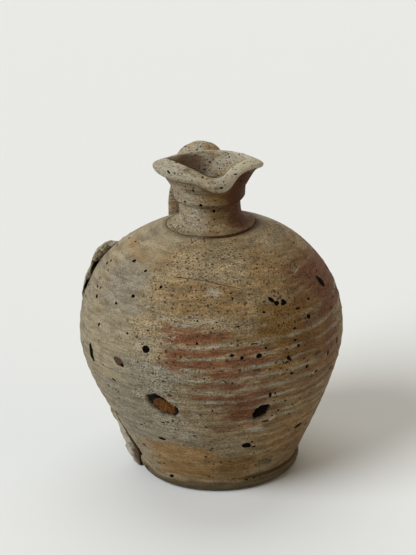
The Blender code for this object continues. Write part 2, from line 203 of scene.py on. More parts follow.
shard_raw_roughness = (9 * mm, 62, 2)
shard_torn_share = 0.2
shard_torn_swing = 0.3
shard_torn_roughness = (7 * mm, 68, 2)
wad_round_shares = (0.22, 0.12)
wad_lump_rise = 0.9 * mm
wad_lump_roughness = (11 * mm, 71, 3)
wad_pit_rise = 0.3 * mm
wad_pit_roughness = (3 * mm, 73, 3)
wad_edge_shares = (0, 0.1, 0.9, 1)

# Stones and their sockets
left_socket = {"length": 15.5 * mm, "width": 8.4 * mm, "height": 93.5 * mm, "azimuth": radians(-35.6),
               "tilt": radians(-32)}
right_socket = {"length": 9 * mm, "width": 6 * mm, "height": 85 * mm, "azimuth": radians(9.6),
                "tilt": radians(42)}
socket_depth = 5.5 * mm
pebble_size_share = 0.86
pebble_depth_share = 0.44
socket_edge_share = 0.13
socket_edge_roughness = (4.5 * mm, 11, 2)
# How far a socket's painted shade reaches, as shares of its size
socket_shade_reaches = (0.93, 1.02)
out_of_reach = 9.0
left_stone = {"place_share": 0.15, "length_share": 0.68, "lump_share": 0.17, "roughness": (5 * mm, 91, 3)}
right_stone = {"place_share": 0, "length_share": 0.9, "lump_share": 0.3, "roughness": (5 * mm, 95, 3)}
stone_pole = 0.02
stone_burnt_shares = (0.8, 1)

# How fine the meshes are
body_columns = 400
front_density = 2.2
foot_row = 0.7 * mm
wall_row = 1.55 * mm
hidden_row = 12 * mm
neck_columns = 260
neck_row = 0.8 * mm
strap_points = 72
strap_row = 1.1 * mm
curve_steps = 12
fine_steps = 200
front_degrees = (80, 110)
column_steps = 2000
foot_arc_points = 13
cove_points = 24
hollow_step = 8
underside_shares = (0, 0.4, 0.8)
shard_grid = (90, 60)
wad_grid = (100, 90)
stone_grid = (64, 96)
floor_points = 96

# How noise shuffles the corners of its lattice
lattice_factors = (374761393, 668265263, 2147483647)
lattice_seed_factor = 1274126177
lattice_mixer = 1103515245
lattice_mask = 0xFFFFFFFF
lattice_shifts = (13, 16)

# Throwing ridges: heights of their crests, their relief and the pale bands on them
ridge_heights = (160, 148, 138.5, 129, 119.5, 109.5, 100, 91.5, 83, 77, 67, 60, 50, 40)
ridge_width = 1.5 * mm
ridge_rise = 0.32 * mm
ridge_uneven_share = 0.6
ridge_grain = ((50 * mm, 50 * mm, 12 * mm), 3)
wobble_rise = 0.5 * mm
wobble_grain = ((45 * mm,) * 3, 5)
swell_fade = 8 * mm
swell_end = 1 * mm
pale_band_width = 1.7 * mm
pale_band_shift = 1.3 * mm
pale_band_shift_roughness = (16 * mm, 26, 2)
pale_band_share = 0.85
pale_band_swing = 0.75
pale_band_roughness = (14 * mm, 23, 2)
neck_swell = 0.45 * mm
neck_swell_roughness = (14 * mm, 31, 2)
neck_line_rise = 0.12 * mm
neck_line_grain = ((60 * mm, 60 * mm, 2.6 * mm), 33)
neck_still_rows = 6
neck_fixed_rows = [0, 1, 2, -1]

# The camera, worked out from the photograph's frame of 416 x 555 pixels
frame_width_px = 416
frame_height_px = 555
sensor_size = 36
focal_length_px = 1780.5
camera_azimuth = -12
camera_elevation = radians(21.5)
camera_roll = radians(1.8)
camera_distance = 1.5
target_height = 123 * mm
target_px = (215.32, 325.89)

# Light
world_strength = 0.15
world_colour = (1, 0.93, 0.8, 1)
sky_colour = (0.84, 0.84, 0.82, 1)
sky_strength = 1
seen_rays = ("Is Camera Ray", "Is Glossy Ray", "Is Transmission Ray")
lamps = {
    "key": {"azimuth": radians(-70), "elevation": radians(38), "spread": radians(40), "strength": 2.8,
            "colour": (0.97, 1, 1.04)},
    "top": {"azimuth": radians(172), "elevation": radians(60), "spread": radians(60), "strength": 1.2,
            "colour": (1, 0.99, 0.95)},
    "warm": {"azimuth": radians(60), "elevation": radians(16), "spread": radians(80), "strength": 0.6,
             "colour": (1, 0.72, 0.42)},
}

# Colours of the clay and of what the kiln left on it
beige = (0.25, 0.204, 0.127, 1)
tan = (0.215, 0.161, 0.088, 1)
slate = (0.178, 0.155, 0.112, 1)
moss = (0.09, 0.068, 0.034, 1)
ochre = (0.15, 0.085, 0.027, 1)
plum = (0.12, 0.053, 0.026, 1)
flash = (0.132, 0.052, 0.023, 1)
chalk = (0.335, 0.305, 0.23, 1)
# The painted highlight's colour, for the lip's side that faces the light
painted_highlight = (0.45, 0.41, 0.3, 1)
umber = (0.044, 0.017, 0.005, 1)
# Near black, for the burnt stone's edge and for the painted shade in the sockets
soot_and_shade = (0.012, 0.009, 0.006, 1)
rust = (0.245, 0.148, 0.062, 1)

# How a seed shifts a texture, and the soft edge of dots
seed_steps = (3.7, 1.9, 5.3)
dot_edge = 0.05

# Kiln patches in the order they lie: colour, how far a texture breaks them up, where they start and are
# full, and how far the ridges thin them. The first ones follow the mottled grain, the next the ragged one.
mottled_patches = {
    "grey": (slate, 0.6, 0, 1.1, 0),
    "olive": (moss, 0.6, 0.12, 0.85, 0),
    "rust": (rust, 0.6, 0, 1, 0),
}
ragged_patches = {
    "ochre": (ochre, 0.8, 0.05, 0.8, 0.5),
    "plum": (plum, 0.6, 0, 0.8, 0.3),
    "flash": (flash, 1.1, 0.18, 0.95, 0.6),
}
ash_patch = (0.9, 0.25, 0.9)
patch_edge = 0.15
texture_middle = 0.5

# Grain of the clay's colour: sizes, detail, seed and roughness
broad_texture = ((50 * mm, 50 * mm, 35 * mm), 3, 1, 0.55)
streak_texture = ((24 * mm, 24 * mm, 3 * mm), 5, 2, 0.55)
line_texture = ((9 * mm, 9 * mm, 1.8 * mm), 5, 3, 0.7)
mottle_texture = ((9 * mm, 9 * mm, 5 * mm), 5, 4, 0.6)
fine_texture = ((1.4 * mm, 1.4 * mm, 1.1 * mm), 3, 5, 0.7)
skin_texture = ((7 * mm,) * 3, 4, 11, 0.55)
pit_texture = ((2.2 * mm,) * 3, 4, 12, 0.7)
stone_texture = (5, 6, 0.65)

# Dots: sizes of their cells, seed, share of the cells that have one, largest radius in cells
crust_dots = ((2.1 * mm, 2.1 * mm, 1.6 * mm), 8, 0.6, 0.42)
small_pores = ((2.4 * mm, 2.4 * mm, 1.5 * mm), 6, 0.6, 0.38)
large_pores = ((5 * mm,) * 3, 7, 0.5, 0.24)
pale_chips = ((4 * mm, 4 * mm, 2.5 * mm), 13, 0.4, 0.42)

# Tints that a texture gives a colour: where it starts and ends, the dark tint and the light one
mottle_tint = ((0.36, 0.64), (0.87, 0.85, 0.82, 1), (1.12, 1.13, 1.15, 1))
fine_tint = ((0.4, 0.6), (0.5, 0.48, 0.43, 1), (1.52, 1.55, 1.6, 1))
streak_tint = ((0.35, 0.65), (0.82, 0.8, 0.77, 1), (1.15, 1.17, 1.2, 1))
skin_tint = ((0.35, 0.6), (0.6, 0.58, 0.52, 1), (1.1, 1.1, 1.1, 1))

# Melted iron, stains and stones, also used for painted shade lines at the neck's base: dark tone, light
# tone, size of the grain, roughness and gloss
melted_iron_and_shade = ((0.0015, 0.001, 0.0007, 1), (0.0055, 0.0034, 0.0022, 1), 1 * mm, 0.8, 0.02)
rusty_iron = ((0.03, 0.016, 0.008, 1), (0.09, 0.045, 0.022, 1), 1.2 * mm, 0.7, 0.15)
rust_and_shade_brown = ((0.07, 0.036, 0.013, 1), (0.12, 0.066, 0.026, 1), 1.5 * mm, 0.8, 0.05)
olive_ash = ((0.028, 0.026, 0.008, 1), (0.075, 0.066, 0.024, 1), 1.2 * mm, 0.7, 0.05)
grey_iron = ((0.07, 0.065, 0.055, 1), (0.13, 0.12, 0.1, 1), 1.5 * mm, 0.6, 0.15)
brown_ironstone = ((0.038, 0.014, 0.003, 1), (0.145, 0.056, 0.012, 1), 1.7 * mm, 0.8, 0.08)
stone_limits = (0.38, 0.62)
stone_relief = 0.6
burnt_limits = (0.35, 0.65)
burnt_swing = 0.8
burnt_relief = 0.7

# The kiln fragment: its pale skin, and its dark inside with pale chips
skin_dark = (0.2, 0.18, 0.115, 1)
skin_light = (0.32, 0.3, 0.21, 1)
inside_dark = (0.065, 0.05, 0.029, 1)
inside_light = (0.36, 0.3, 0.19, 1)
chip_colour = (0.46, 0.42, 0.32, 1)
skin_limits = (0.35, 0.65)
inside_limits = (0.4, 0.62)
edge_limits = (0.4, 0.6)
torn_swing = 1.2
fragment_roughness = 0.85
fragment_gloss = 0.1
fragment_relief = 0.8

# How the clay's textures, crust and pores are mixed
tan_limits = (0.35, 0.7)
tan_share = 0.4
orange_limits = (0.48, 0.62)
orange_share = 0.35
pale_limits = (0.5, 0.36)
pale_share = 0.45
ragged_shares = (0.6, 0.4)
ragged_limits = (0.34, 0.66)
grit_share = 0.35
crust_on_ridges = 0.9
crust_limits = (0.95, 1.45)
crust_share = 0.8
crust_dot_share = 0.9
crust_dots_everywhere = 0.15
small_pores_everywhere = 0.15
large_pores_everywhere = 0.6
pore_share = 0.85
clay_roughness = 0.48
clay_roughness_swing = 0.4
clay_gloss = 0.1
clay_relief = 0.8
fine_relief_share = 0.6
pore_relief_share = -0.8
crust_relief_share = 0.6

# Depth of each material's relief
clay_bump = 0.8 * mm
stone_bump = 0.5 * mm
burnt_bump = 0.6 * mm
fragment_bump = 1 * mm

# Floor
floor_radius = 6
floor_colour = (0.73, 0.745, 0.735, 1)
floor_roughness = 0.9


def ease(low, high, value):
    """0 below low, 1 above high, and smooth between them."""
    t = np.clip((value - low) / (high - low), 0, 1)
    return t * t * (3 - 2 * t)


def band(value, low, full_low, full_high, high):
    """0 below low and above high, 1 from full_low to full_high, and smooth between them."""
    return ease(low, full_low, value) * (1 - ease(full_high, high, value))


def at_least(low, share):
    """A share from 0 to 1 squeezed into the range from low to 1."""
    return low + (1 - low) * share


def apart(angle, middle):
    """How far angles lie from another one round the circle, in degrees."""
    return np.abs((angle - middle + full_turn / 2) % full_turn - full_turn / 2)


def unit(ways):
    """Ways with a length of 1."""
    return ways / np.linalg.norm(ways, axis=-1, keepdims=True)


def bump(angles, angle):
    """1 at a wave's middle and 0 from its half width on, in degrees round a circle."""
    middle, half_width = angles
    distance = apart(angle, middle)
    return np.where(distance < half_width, (1 + np.cos(pi * distance / half_width)) / 2, 0)


def between(shares, t):
    """The values at t, from 0 to 1, of a list of (place, value) pairs."""
    t = np.asarray(t, float)
    values = np.full(t.shape, float(shares[0][1]))
    for (low, low_value), (high, high_value) in zip(shares, shares[1:]):
        values = np.where(t > low, low_value + (high_value - low_value) * ease(low, high, t), values)
    return values


def bezier(start, start_pull, end_pull, end):
    """Points of a cubic curve from its end points and the points that pull it."""
    t = np.linspace(0, 1, fine_steps + 1)[:, None]
    s = 1 - t
    corners = [np.array(corner) for corner in (start, start_pull, end_pull, end)]
    weights = (s ** 3, 3 * s * s * t, 3 * s * t * t, t ** 3)
    return sum(weight * corner for weight, corner in zip(weights, corners))


def smooth_curve(points):
    """A Catmull-Rom curve through points along the first axis."""
    padded = np.concatenate(([2 * points[0] - points[1]], points, [2 * points[-1] - points[-2]]))
    curve = []
    for k in range(1, len(padded) - 2):
        a, b, c, d = padded[k - 1:k + 3]
        for step in range(curve_steps):
            t = step / curve_steps
            curve.append((2 * b + (c - a) * t + (2 * a - 5 * b + 4 * c - d) * t ** 2
                          + (3 * b - 3 * c + d - a) * t ** 3) / 2)
    curve.append(padded[-2])
    return np.array(curve)


def length_along(line):
    """How far each point of a line lies from its start."""
    steps = np.linalg.norm(np.diff(line, axis=0), axis=1)
    return np.concatenate(([0], np.cumsum(steps)))


def resample(line, spacing):
    """Points at an even spacing along a line, its two ends included."""
    along = length_along(line)
    count = max(round(along[-1] / spacing), 1)
    places = np.linspace(0, along[-1], count + 1)
    return np.column_stack([np.interp(places, along, line[:, k]) for k in range(line.shape[1])])


def lattice(corner, seed):
    """A repeatable value from 0 to 1 for each corner of a grid of whole numbers."""
    first, second = lattice_shifts
    mixed = ((corner * lattice_factors).sum(axis=-1) + seed * lattice_seed_factor) & lattice_mask
    mixed = ((mixed ^ (mixed >> first)) * lattice_mixer) & lattice_mask
    return (mixed ^ (mixed >> second)) / lattice_mask


def noise(points, sizes, seed):
    """Smooth noise from -1 to 1 at points, with its grain's size along X, Y and Z."""
    scaled = np.asarray(points) / np.asarray(sizes)
    corner = np.floor(scaled).astype(np.int64)
    share = scaled - corner
    share = share * share * (3 - 2 * share)
    total = 0
    for step in product((0, 1), repeat=3):
        weight = np.prod(np.where(step, share, 1 - share), axis=-1)
        total = total + weight * lattice(corner + step, seed)
    return total * 2 - 1


def rough(points, size, seed, layers):
    """Noise with finer and fainter grain on top."""
    total = 0
    for layer in range(layers):
        share = 0.5 ** layer
        total = total + share * noise(points, (size * share,) * 3, seed + layer)
    return total


def ripple(points, waves):
    """The sum of noises, each with its amount, its grain's sizes and its seed."""
    return sum(amount * noise(points, sizes, seed) for amount, sizes, seed in waves)


def axis_at(height):
    """The axis's place along X at a height."""
    to_belly = ease(0, belly_height, height)
    to_neck = ease(shoulder_turn_height, shoulder_edge_height, height)
    to_rim = ease(shoulder_edge_height, rim_height, height)
    neck_return = belly_drift - neck_drift
    return -belly_drift * to_belly + neck_return * to_neck - (rim_drift - neck_drift) * to_rim


def on_ring(radius, azimuth, height):
    """Points at a radius from the drifting axis."""
    return np.stack(np.broadcast_arrays(axis_at(height) + radius * np.sin(azimuth),
                                        -radius * np.cos(azimuth), height), axis=-1)


def body_wall():
    """The body's outer wall, as radius and height, from the groove over the foot to the shoulder's edge."""
    start_radius = foot_radius - foot_groove_depth
    start_height = foot_band_height + foot_groove_width
    belly = (belly_radius, belly_height)
    lower = bezier((start_radius, start_height),
                   (start_radius + lower_wall_spread, start_height + lower_wall_pull),
                   (belly_radius, belly_height - belly_pull_below), belly)
    upper = bezier(belly, (belly_radius, belly_height + belly_pull_above),
                   (shoulder_edge_radius + shoulder_pull_out, shoulder_edge_height - shoulder_pull_down),
                   (shoulder_edge_radius, shoulder_edge_height))
    return np.concatenate((lower, upper[1:]))


wall_line = body_wall()
wall_along = length_along(wall_line)
wall_tangent = unit(np.gradient(wall_line, axis=0))


def wall_at(height):
    """The wall's radius at heights, and its outward normal as radius and height."""
    radius = np.interp(height, wall_line[:, 1], wall_line[:, 0])
    out = np.interp(height, wall_line[:, 1], wall_tangent[:, 1])
    up = -np.interp(height, wall_line[:, 1], wall_tangent[:, 0])
    return radius, out, up


def off_wall(points, azimuth, out, up, lift):
    """The points moved off the wall by the lift."""
    way = np.stack(np.broadcast_arrays(out * np.sin(azimuth), -out * np.cos(azimuth), up), axis=-1)
    return points + way * np.asarray(lift)[..., None]


def ridges(height, width):
    """1 on the crest of a throwing ridge, 0 between them."""
    return sum(np.exp(-((height - crest * mm) / width) ** 2) for crest in ridge_heights)


def wall_swell(points):
    """How far the real wall stands off the smooth one."""
    height = points[..., 2]
    ridge = ridges(height, ridge_width) * (1 + ridge_uneven_share * noise(points, *ridge_grain))
    fade = band(height, foot_band_height, foot_band_height + swell_fade,
                shoulder_edge_height - swell_fade, shoulder_edge_height - swell_end)
    return fade * (ridge_rise * ridge + wobble_rise * noise(points, *wobble_grain))


def socket_frame(socket):
    """The middle of a socket on the wall, with its long way, its short way and the outward way."""
    radius, out, up = (float(value) for value in wall_at(socket["height"]))
    azimuth = socket["azimuth"]
    level = Vector((cos(azimuth), sin(azimuth), 0))
    normal = Vector((out * sin(azimuth), -out * cos(azimuth), up))
    long_way = level * cos(socket["tilt"]) + normal.cross(level) * sin(socket["tilt"])
    middle = Vector(on_ring(radius, azimuth, socket["height"]))
    return middle, long_way, normal.cross(long_way), normal


def socket_dip(points, socket):
    """How deep the chipped socket is under each point of the wall, and how near its edge is."""
    middle, long_way, short_way, normal = socket_frame(socket)
    offset = points - np.array(middle)
    along = offset @ np.array(long_way) / socket["length"]
    across = offset @ np.array(short_way) / socket["width"]
    reach = np.sqrt(along ** 2 + across ** 2) + socket_edge_share * rough(points, *socket_edge_roughness)
    facing = offset @ np.array(normal) > -socket["length"]
    depth = socket_depth * np.sqrt(np.clip(1 - reach ** 2, 0, 1))
    return np.where(facing, depth, 0), np.where(facing, reach, out_of_reach)


def body_surface(azimuth, height, lift):
    """Points on the finished outer wall at azimuths and heights."""
    radius, out, up = wall_at(height)
    points = on_ring(radius, azimuth, height)
    return off_wall(points, azimuth, out, up, wall_swell(points) + lift)


def add_object(name, data):
    made = bpy.data.objects.new(name, data)
    bpy.context.scene.collection.objects.link(made)
    return made


def fill_mesh(name, points, faces, material):
    """A smooth mesh object from points and from faces that count them."""
    mesh = bpy.data.meshes.new(name)
    mesh.from_pydata(points.reshape(-1, 3).tolist(), [], [tuple(face) for face in faces])
    mesh.materials.append(material)
    mesh.shade_smooth()
    return add_object(name, mesh)


def add_value(piece, name, values):
    """A number at each vertex, for the material to read."""
    layer = piece.data.attributes.new(name, 'FLOAT', 'POINT')
    layer.data.foreach_set("value", np.ascontiguousarray(values, np.float32).ravel())


def add_strengths(piece, points, strengths):
    """The kiln's colours and the painted shade and highlight at each vertex, with 0 for those that the
    piece doesn't have.
    """
    for name in kiln_and_shade_strengths:
        add_value(piece, name, np.broadcast_to(strengths.get(name, 0), points.shape[:-1]))


def patches(points, table):
    """Strengths that swing about a level in patches: level, swing, size and seed."""
    return {name: level + swing * noise(points, (size,) * 3, seed)
            for name, (level, swing, size, seed) in table.items()}


def grid_faces(rows, columns, ring_columns=True, ring_rows=False):
    """Faces of a grid of points, row by row. Its columns, its rows or both can close into rings."""
    row_count = rows if ring_rows else rows - 1
    column_count = columns if ring_columns else columns - 1
    row, column = np.meshgrid(np.arange(row_count), np.arange(column_count), indexing="ij")
    next_row = (row + 1) % rows
    next_column = (column + 1) % columns
    return np.stack((row * columns + column, row * columns + next_column,
                     next_row * columns + next_column, next_row * columns + column), axis=-1).reshape(-1, 4)


def column_azimuths():
    """Azimuths of the body's columns, closer together on the side that the camera sees."""
    fine = np.linspace(0, full_turn, column_steps + 1)
    density = 1 + (front_density - 1) * (1 - ease(*front_degrees, apart(fine, camera_azimuth)))
    places = np.concatenate(([0], np.cumsum(density[1:])))
    return np.radians(np.interp(np.arange(body_columns) / body_columns, places / places[-1], fine))


def foot_line():
    """The foot from near the middle of its underside to the groove over its band."""
    turns = np.linspace(0, pi / 2, foot_arc_points)
    edge = np.column_stack((foot_radius - foot_edge_round * (1 - np.sin(turns)),
                            foot_edge_round * (1 - np.cos(turns))))
    return np.concatenate((edge, [(foot_radius, foot_band_height), wall_line[0]]))


def hidden_lines():
    """The seat under the neck, the throat, the hollow's wall and the floor, out of sight."""
    seat_height = shoulder_edge_height - seat_depth
    inside = wall_line[::hollow_step]
    _, out, up = wall_at(inside[:, 1])
    hollow = np.column_stack((inside[:, 0] - wall_thickness * out, inside[:, 1] - wall_thickness * up))
    hollow = hollow[hollow[:, 0] > body_mouth_radius][::-1]
    seat = [(shoulder_edge_radius - seat_edge_width, seat_height), (body_mouth_radius, seat_height),
            (body_mouth_radius, hollow[0][1])]
    floor = [(hollow[-1][0] - floor_thickness, floor_thickness), (0, floor_thickness)]
    return np.array(seat), resample(hollow, hidden_row), np.array(floor)


def make_body(material):
    azimuths = column_azimuths()[None, :]
    foot = foot_line()
    underside = [(foot[0][0] * share, 0) for share in underside_shares]
    foot = resample(foot, foot_row)
    wall = resample(wall_line, wall_row)[1:]
    line = np.concatenate((underside, foot, wall, *hidden_lines()))
    heights = line[:, 1][:, None]
    points = on_ring(line[:, 0][:, None], azimuths, heights)
    _, out, up = wall_at(heights)
    first = len(underside) + len(foot) - 1
    outer = slice(first, first + len(wall) + 1)
    lift = wall_swell(points[outer])
    reach = np.full(points.shape[:2], out_of_reach)
    for socket in (left_socket, right_socket):
        dip, near = socket_dip(points[outer], socket)
        lift = lift - dip
        reach[outer] = np.minimum(reach[outer], near)
    points[outer] = off_wall(points[outer], azimuths, out[outer], up[outer], lift)
    body = fill_mesh("thrown_body", points, grid_faces(len(line), body_columns), material)
    strengths = body_strengths(azimuths, heights, points)
    # Painted shade in the chipped sockets
    strengths["socket"] = 1 - ease(*socket_shade_reaches, reach)
    add_strengths(body, points, strengths)
    return body


# What the clay's material reads at each vertex: the kiln's colours, painted shade in groove and socket, and
# a painted highlight
kiln_and_shade_strengths = ("flash", "ochre", "plum", "grey", "olive", "rust", "ash", "speckle", "crust", "grit",
                  "groove", "warm", "ridge", "socket", "painted_highlight")

# Kiln colours on the body: from and to azimuth, from and to height, strength
body_zones = {
    "flash": (
        (-21, 6, 150, 163.5, 1), (-22, 5, 138, 149, 0.9), (4, 23, 137.5, 147.5, 0.75),
        (-20, 23, 128.5, 138.5, 0.9), (-2, 23, 118.5, 128.5, 0.85), (-8, 22, 109, 118.5, 0.7),
        (8, 22, 103, 117, 0.55), (-10, 10, 99, 107, 0.7), (8, 22, 80, 102, 0.85), (-5, 23, 62, 86, 0.45),
        (-26, -8, 163, 171, 0.25), (26, 60, 100, 130, 0.3), (-20, 24, 88, 150, 0.28),
        (-8, 10, 84, 100, 0.4), (118, 160, 128, 150, 0.6), (150, 190, 96, 120, 0.6),
        (200, 240, 140, 158, 0.5),
    ),
    "ochre": (
        (-24, 20, 168, 192, 0.35), (18, 46, 150, 164, 1), (24, 54, 160, 173, 0.95),
        (24, 62, 124, 148, 0.95), (14, 30, 112, 138, 0.4), (0, 30, 60, 100, 0.35), (-10, 24, 96, 160, 0.3),
        (-45, -16, 12, 30, 0.35), (-18, -2, 26, 48, 0.2), (-4, 22, 20, 40, 0.7), (-22, 22, 12, 24, 0.4),
        (40, 80, 150, 205, 0.4), (70, 140, 20, 110, 0.6), (150, 230, 120, 200, 0.6), (20, 60, 30, 128, 0.5),
        (20, 50, 180, 214, 0.25),
    ),
    "rust": (
        (-48, 0, 14, 52, 0.8), (0, 26, 14, 34, 0.5), (26, 62, 34, 72, 0.5), (-30, 26, 172, 192, 0.3),
        (-26, 26, 150, 172, 0.2), (-40, -24, 196, 212, 0.4), (-26, -10, 134, 152, 0.4),
        (24, 50, 176, 206, 0.4), (-84, -48, 199, 205, 0.55), (200, 290, 20, 90, 0.4),
    ),
    "plum": (
        (56, 110, 150, 188, 0.9), (44, 110, 146, 194, 0.4), (54, 72, 90, 150, 0.55), (40, 76, 60, 156, 0.3),
        (4, 26, 82, 106, 0.7), (40, 90, 10, 70, 0.3), (90, 150, 60, 170, 0.6), (-5, 24, 66, 102, 0.2),
        (160, 215, 30, 100, 0.5),
    ),
    "grey": (
        (-68, -32, 166, 197, 0.75), (-58, -38, 140, 170, 0.35), (-44, -10, 104, 135, 0.9),
        (-60, -28, 50, 108, 0.8), (-6, 15, 38, 58, 0.5), (-32, -4, 50, 104, 0.45),
        (-110, -60, 60, 180, 0.4), (-14, 24, 86, 136, 0.4), (225, 290, 60, 190, 0.5),
    ),
    "olive": (
        (-5, 4, 28, 42, 0.5), (24, 37, 19, 31, 0.6), (-52, -38, 128, 137, 0.35),
        (-180, 180, -3, 10.5, 0.85), (-30, 40, 6, 15, 0.3), (13, 100, 8, 14, 0.8),
    ),
    "ash": (
        (1, 8, 183, 188, 0.65), (54, 60, 185, 190, 0.45), (13, 20, 66, 71, 0.8), (100, 150, 198, 214, 0.9),
        (22, 26, 72, 78, 0.8), (-80, -40, 30, 200, 0.2), (-28, -14, 100, 164, 0.3),
        (-24, 10, 163, 172, 0.45), (16, 23, 64, 72, 0.7), (-30, -10, 58, 86, 0.5),
    ),
    "crust": (
        (-24, 26, 95, 153, 1), (22, 44, 76, 153, 0.6), (40, 72, 84, 158, 0.4), (-32, -20, 76, 150, 0.4),
        (-60, -28, 60, 128, 0.25), (-20, 30, 60, 80, 0.4), (70, 200, 80, 166, 0.8), (20, 76, 160, 178, 0.4),
    ),
    "speckle": (
        (-34, 60, 170, 213, 1), (20, 75, 120, 175, 0.7), (-70, -30, 20, 60, 0.4), (70, 250, 90, 213, 0.6),
        (-34, 24, 100, 172, 0.65), (-60, 60, 20, 104, 0.4),
    ),
    "grit": (
        (-34, 80, 64, 213, 0.45), (-20, 80, 10, 64, 0.3), (80, 250, 10, 213, 0.5),
    ),
}
warm_zones = (
    (-30, 215, -5, 112, 1), (-22, 215, 112, 150, 1), (-34, 215, 150, 180, 0.9), (-45, 215, 176, 216, 0.7),
)
zone_soft_degrees = 8
zone_soft_height = 3
zone_soft_share = 0.45
zone_angle_ripples = ((5, (26 * mm, 26 * mm, 7 * mm), 21), (3, (9 * mm, 9 * mm, 3 * mm), 27))
zone_height_ripples = ((2.5, (20 * mm,) * 3, 22), (1, (6 * mm,) * 3, 28))
warm_angle_ripples = ((14, (45 * mm,) * 3, 24),)
warm_height_ripples = ((10, (40 * mm,) * 3, 25),)

# Painted shade in the grooves under the neck and over the foot: how dark it is all round, and how much
# darker on the right, away from the light
seat_groove_places = (-1.6 * mm, -0.4 * mm)
seat_shade_share = 0.35
seat_shade_zones = ((-8, 100, -10, 250, 0.65),)
foot_groove_places = (-0.8 * mm, 0.4 * mm, 1.5 * mm, 3 * mm)
foot_shade_share = 0.2
foot_shade_zones = ((5, 120, -10, 250, 0.35),)


def zones(table, angle, height, softness=1):
    """The strongest of a table's zones at angles and heights."""
    total = np.zeros(np.broadcast(angle, height).shape)
    for start, stop, low, high, strength in table:
        width = (stop - start) / 2
        soft = min(zone_soft_degrees * softness, width * zone_soft_share)
        across = 1 - ease(width - soft, width + soft, apart(angle, start + width))
        soft = min(zone_soft_height * softness, (high - low) * zone_soft_share)
        upwards = band(height, low - soft, low + soft, high - soft, high + soft)
        total = np.maximum(total, strength * across * upwards)
    return total


def body_strengths(azimuths, heights, points):
    """The kiln colours' strengths over the body, with painted shade in its grooves."""
    facing = np.degrees(azimuths) - camera_azimuth
    angle = facing + ripple(points, zone_angle_ripples)
    height = heights / mm + ripple(points, zone_height_ripples)
    strengths = {name: zones(table, angle, height) for name, table in body_zones.items()}
    seat = ease(*(shoulder_edge_height + place for place in seat_groove_places), heights)
    foot = band(heights, *(foot_band_height + place for place in foot_groove_places))
    # Painted shade in the grooves, darker on the right, away from the light
    strengths["groove"] = (seat * (seat_shade_share + zones(seat_shade_zones, angle, height))
                           + foot * (foot_shade_share + zones(foot_shade_zones, angle, height)))
    strengths["warm"] = zones(warm_zones, facing + ripple(points, warm_angle_ripples),
                              heights / mm + ripple(points, warm_height_ripples))
    shifted = heights + pale_band_shift * rough(points, *pale_band_shift_roughness)
    uneven = pale_band_share + pale_band_swing * rough(points, *pale_band_roughness)
    strengths["ridge"] = ridges(shifted, pale_band_width) * uneven
    return strengths


def lip_place(azimuth):
    """The lip's crest radius and height and its edge radius and height at azimuths."""
    angle = np.degrees(azimuth)
    left_tip = bump(left_tip_angles, angle)
    tips = left_tip + bump(right_tip_angles, angle)
    flanks = bump(left_flank_angles, angle) + bump(right_flank_angles, angle)
    spout = bump(spout_crest_angles, angle)
    crest_radius = mouth_radius + spout_crest_reach * spout - flank_crest_pinch * flanks
    crest_height = (rim_height + left_wing_rise * bump(left_wing_angles, angle)
                    + right_wing_rise * bump(right_wing_angles, angle) - spout_crest_drop * spout)
    edge_radius = lip_radius + tip_reach * tips + spout_edge_reach * spout - flank_edge_pinch * flanks
    edge_height = (rim_height - lip_thickness + left_tip_rise * left_tip
                   + right_edge_rise * bump(right_edge_angles, angle)
                   - spout_edge_drop * bump(spout_edge_angles, angle))
    return crest_radius, crest_height, edge_radius, edge_height


def neck_outside():
    """The neck's outer section from its base to the top of the collar, as radius and height."""
    turns = np.linspace(0, pi / 2, cove_points)
    cove = np.column_stack((
        neck_bead_radius - (neck_bead_radius - waist_radius) * np.sin(turns),
        waist_low_height - (waist_low_height - neck_bead_height) * np.cos(turns)))
    base = [(neck_base_radius, 0), (neck_bead_radius, neck_bead_height / 2)]
    top = [(waist_radius, waist_high_height), (ridge_radius, ridge_height), (collar_radius, collar_height)]
    return np.concatenate((base, cove, top)) + (0, neck_base_height)


def lip_sections(azimuths):
    """The lip's sections, from the collar's top over the crest to the throat: point, azimuth, place."""
    crest_radius, crest_height, edge_radius, edge_height = lip_place(azimuths)
    top = neck_base_height + collar_height
    guide = (
        (collar_radius, top),
        (edge_radius - lip_underside_width, edge_height - lip_crest_width),
        (edge_radius - lip_edge_round, edge_height),
        (edge_radius, (edge_height + crest_height) / 2),
        (crest_radius + lip_crest_width, crest_height),
        (crest_radius - lip_inner_round, crest_height - lip_inner_depth),
        ((crest_radius + throat_radius) / 2 - lip_crest_width,
         (crest_height + neck_base_height + throat_height) / 2),
        (throat_radius, neck_base_height + throat_height),
    )
    places = [np.stack(np.broadcast_arrays(*place, azimuths)[:2], axis=-1) for place in guide]
    return smooth_curve(np.array(places))[1:]


def soften(points, fixed):
    """Rows of points with their sharp bends rounded off. The fixed rows stay."""
    moved = points.copy()
    moved[1:-1] = (points[:-2] + 2 * points[1:-1] + points[2:]) / 4
    moved[fixed] = points[fixed]
    return moved


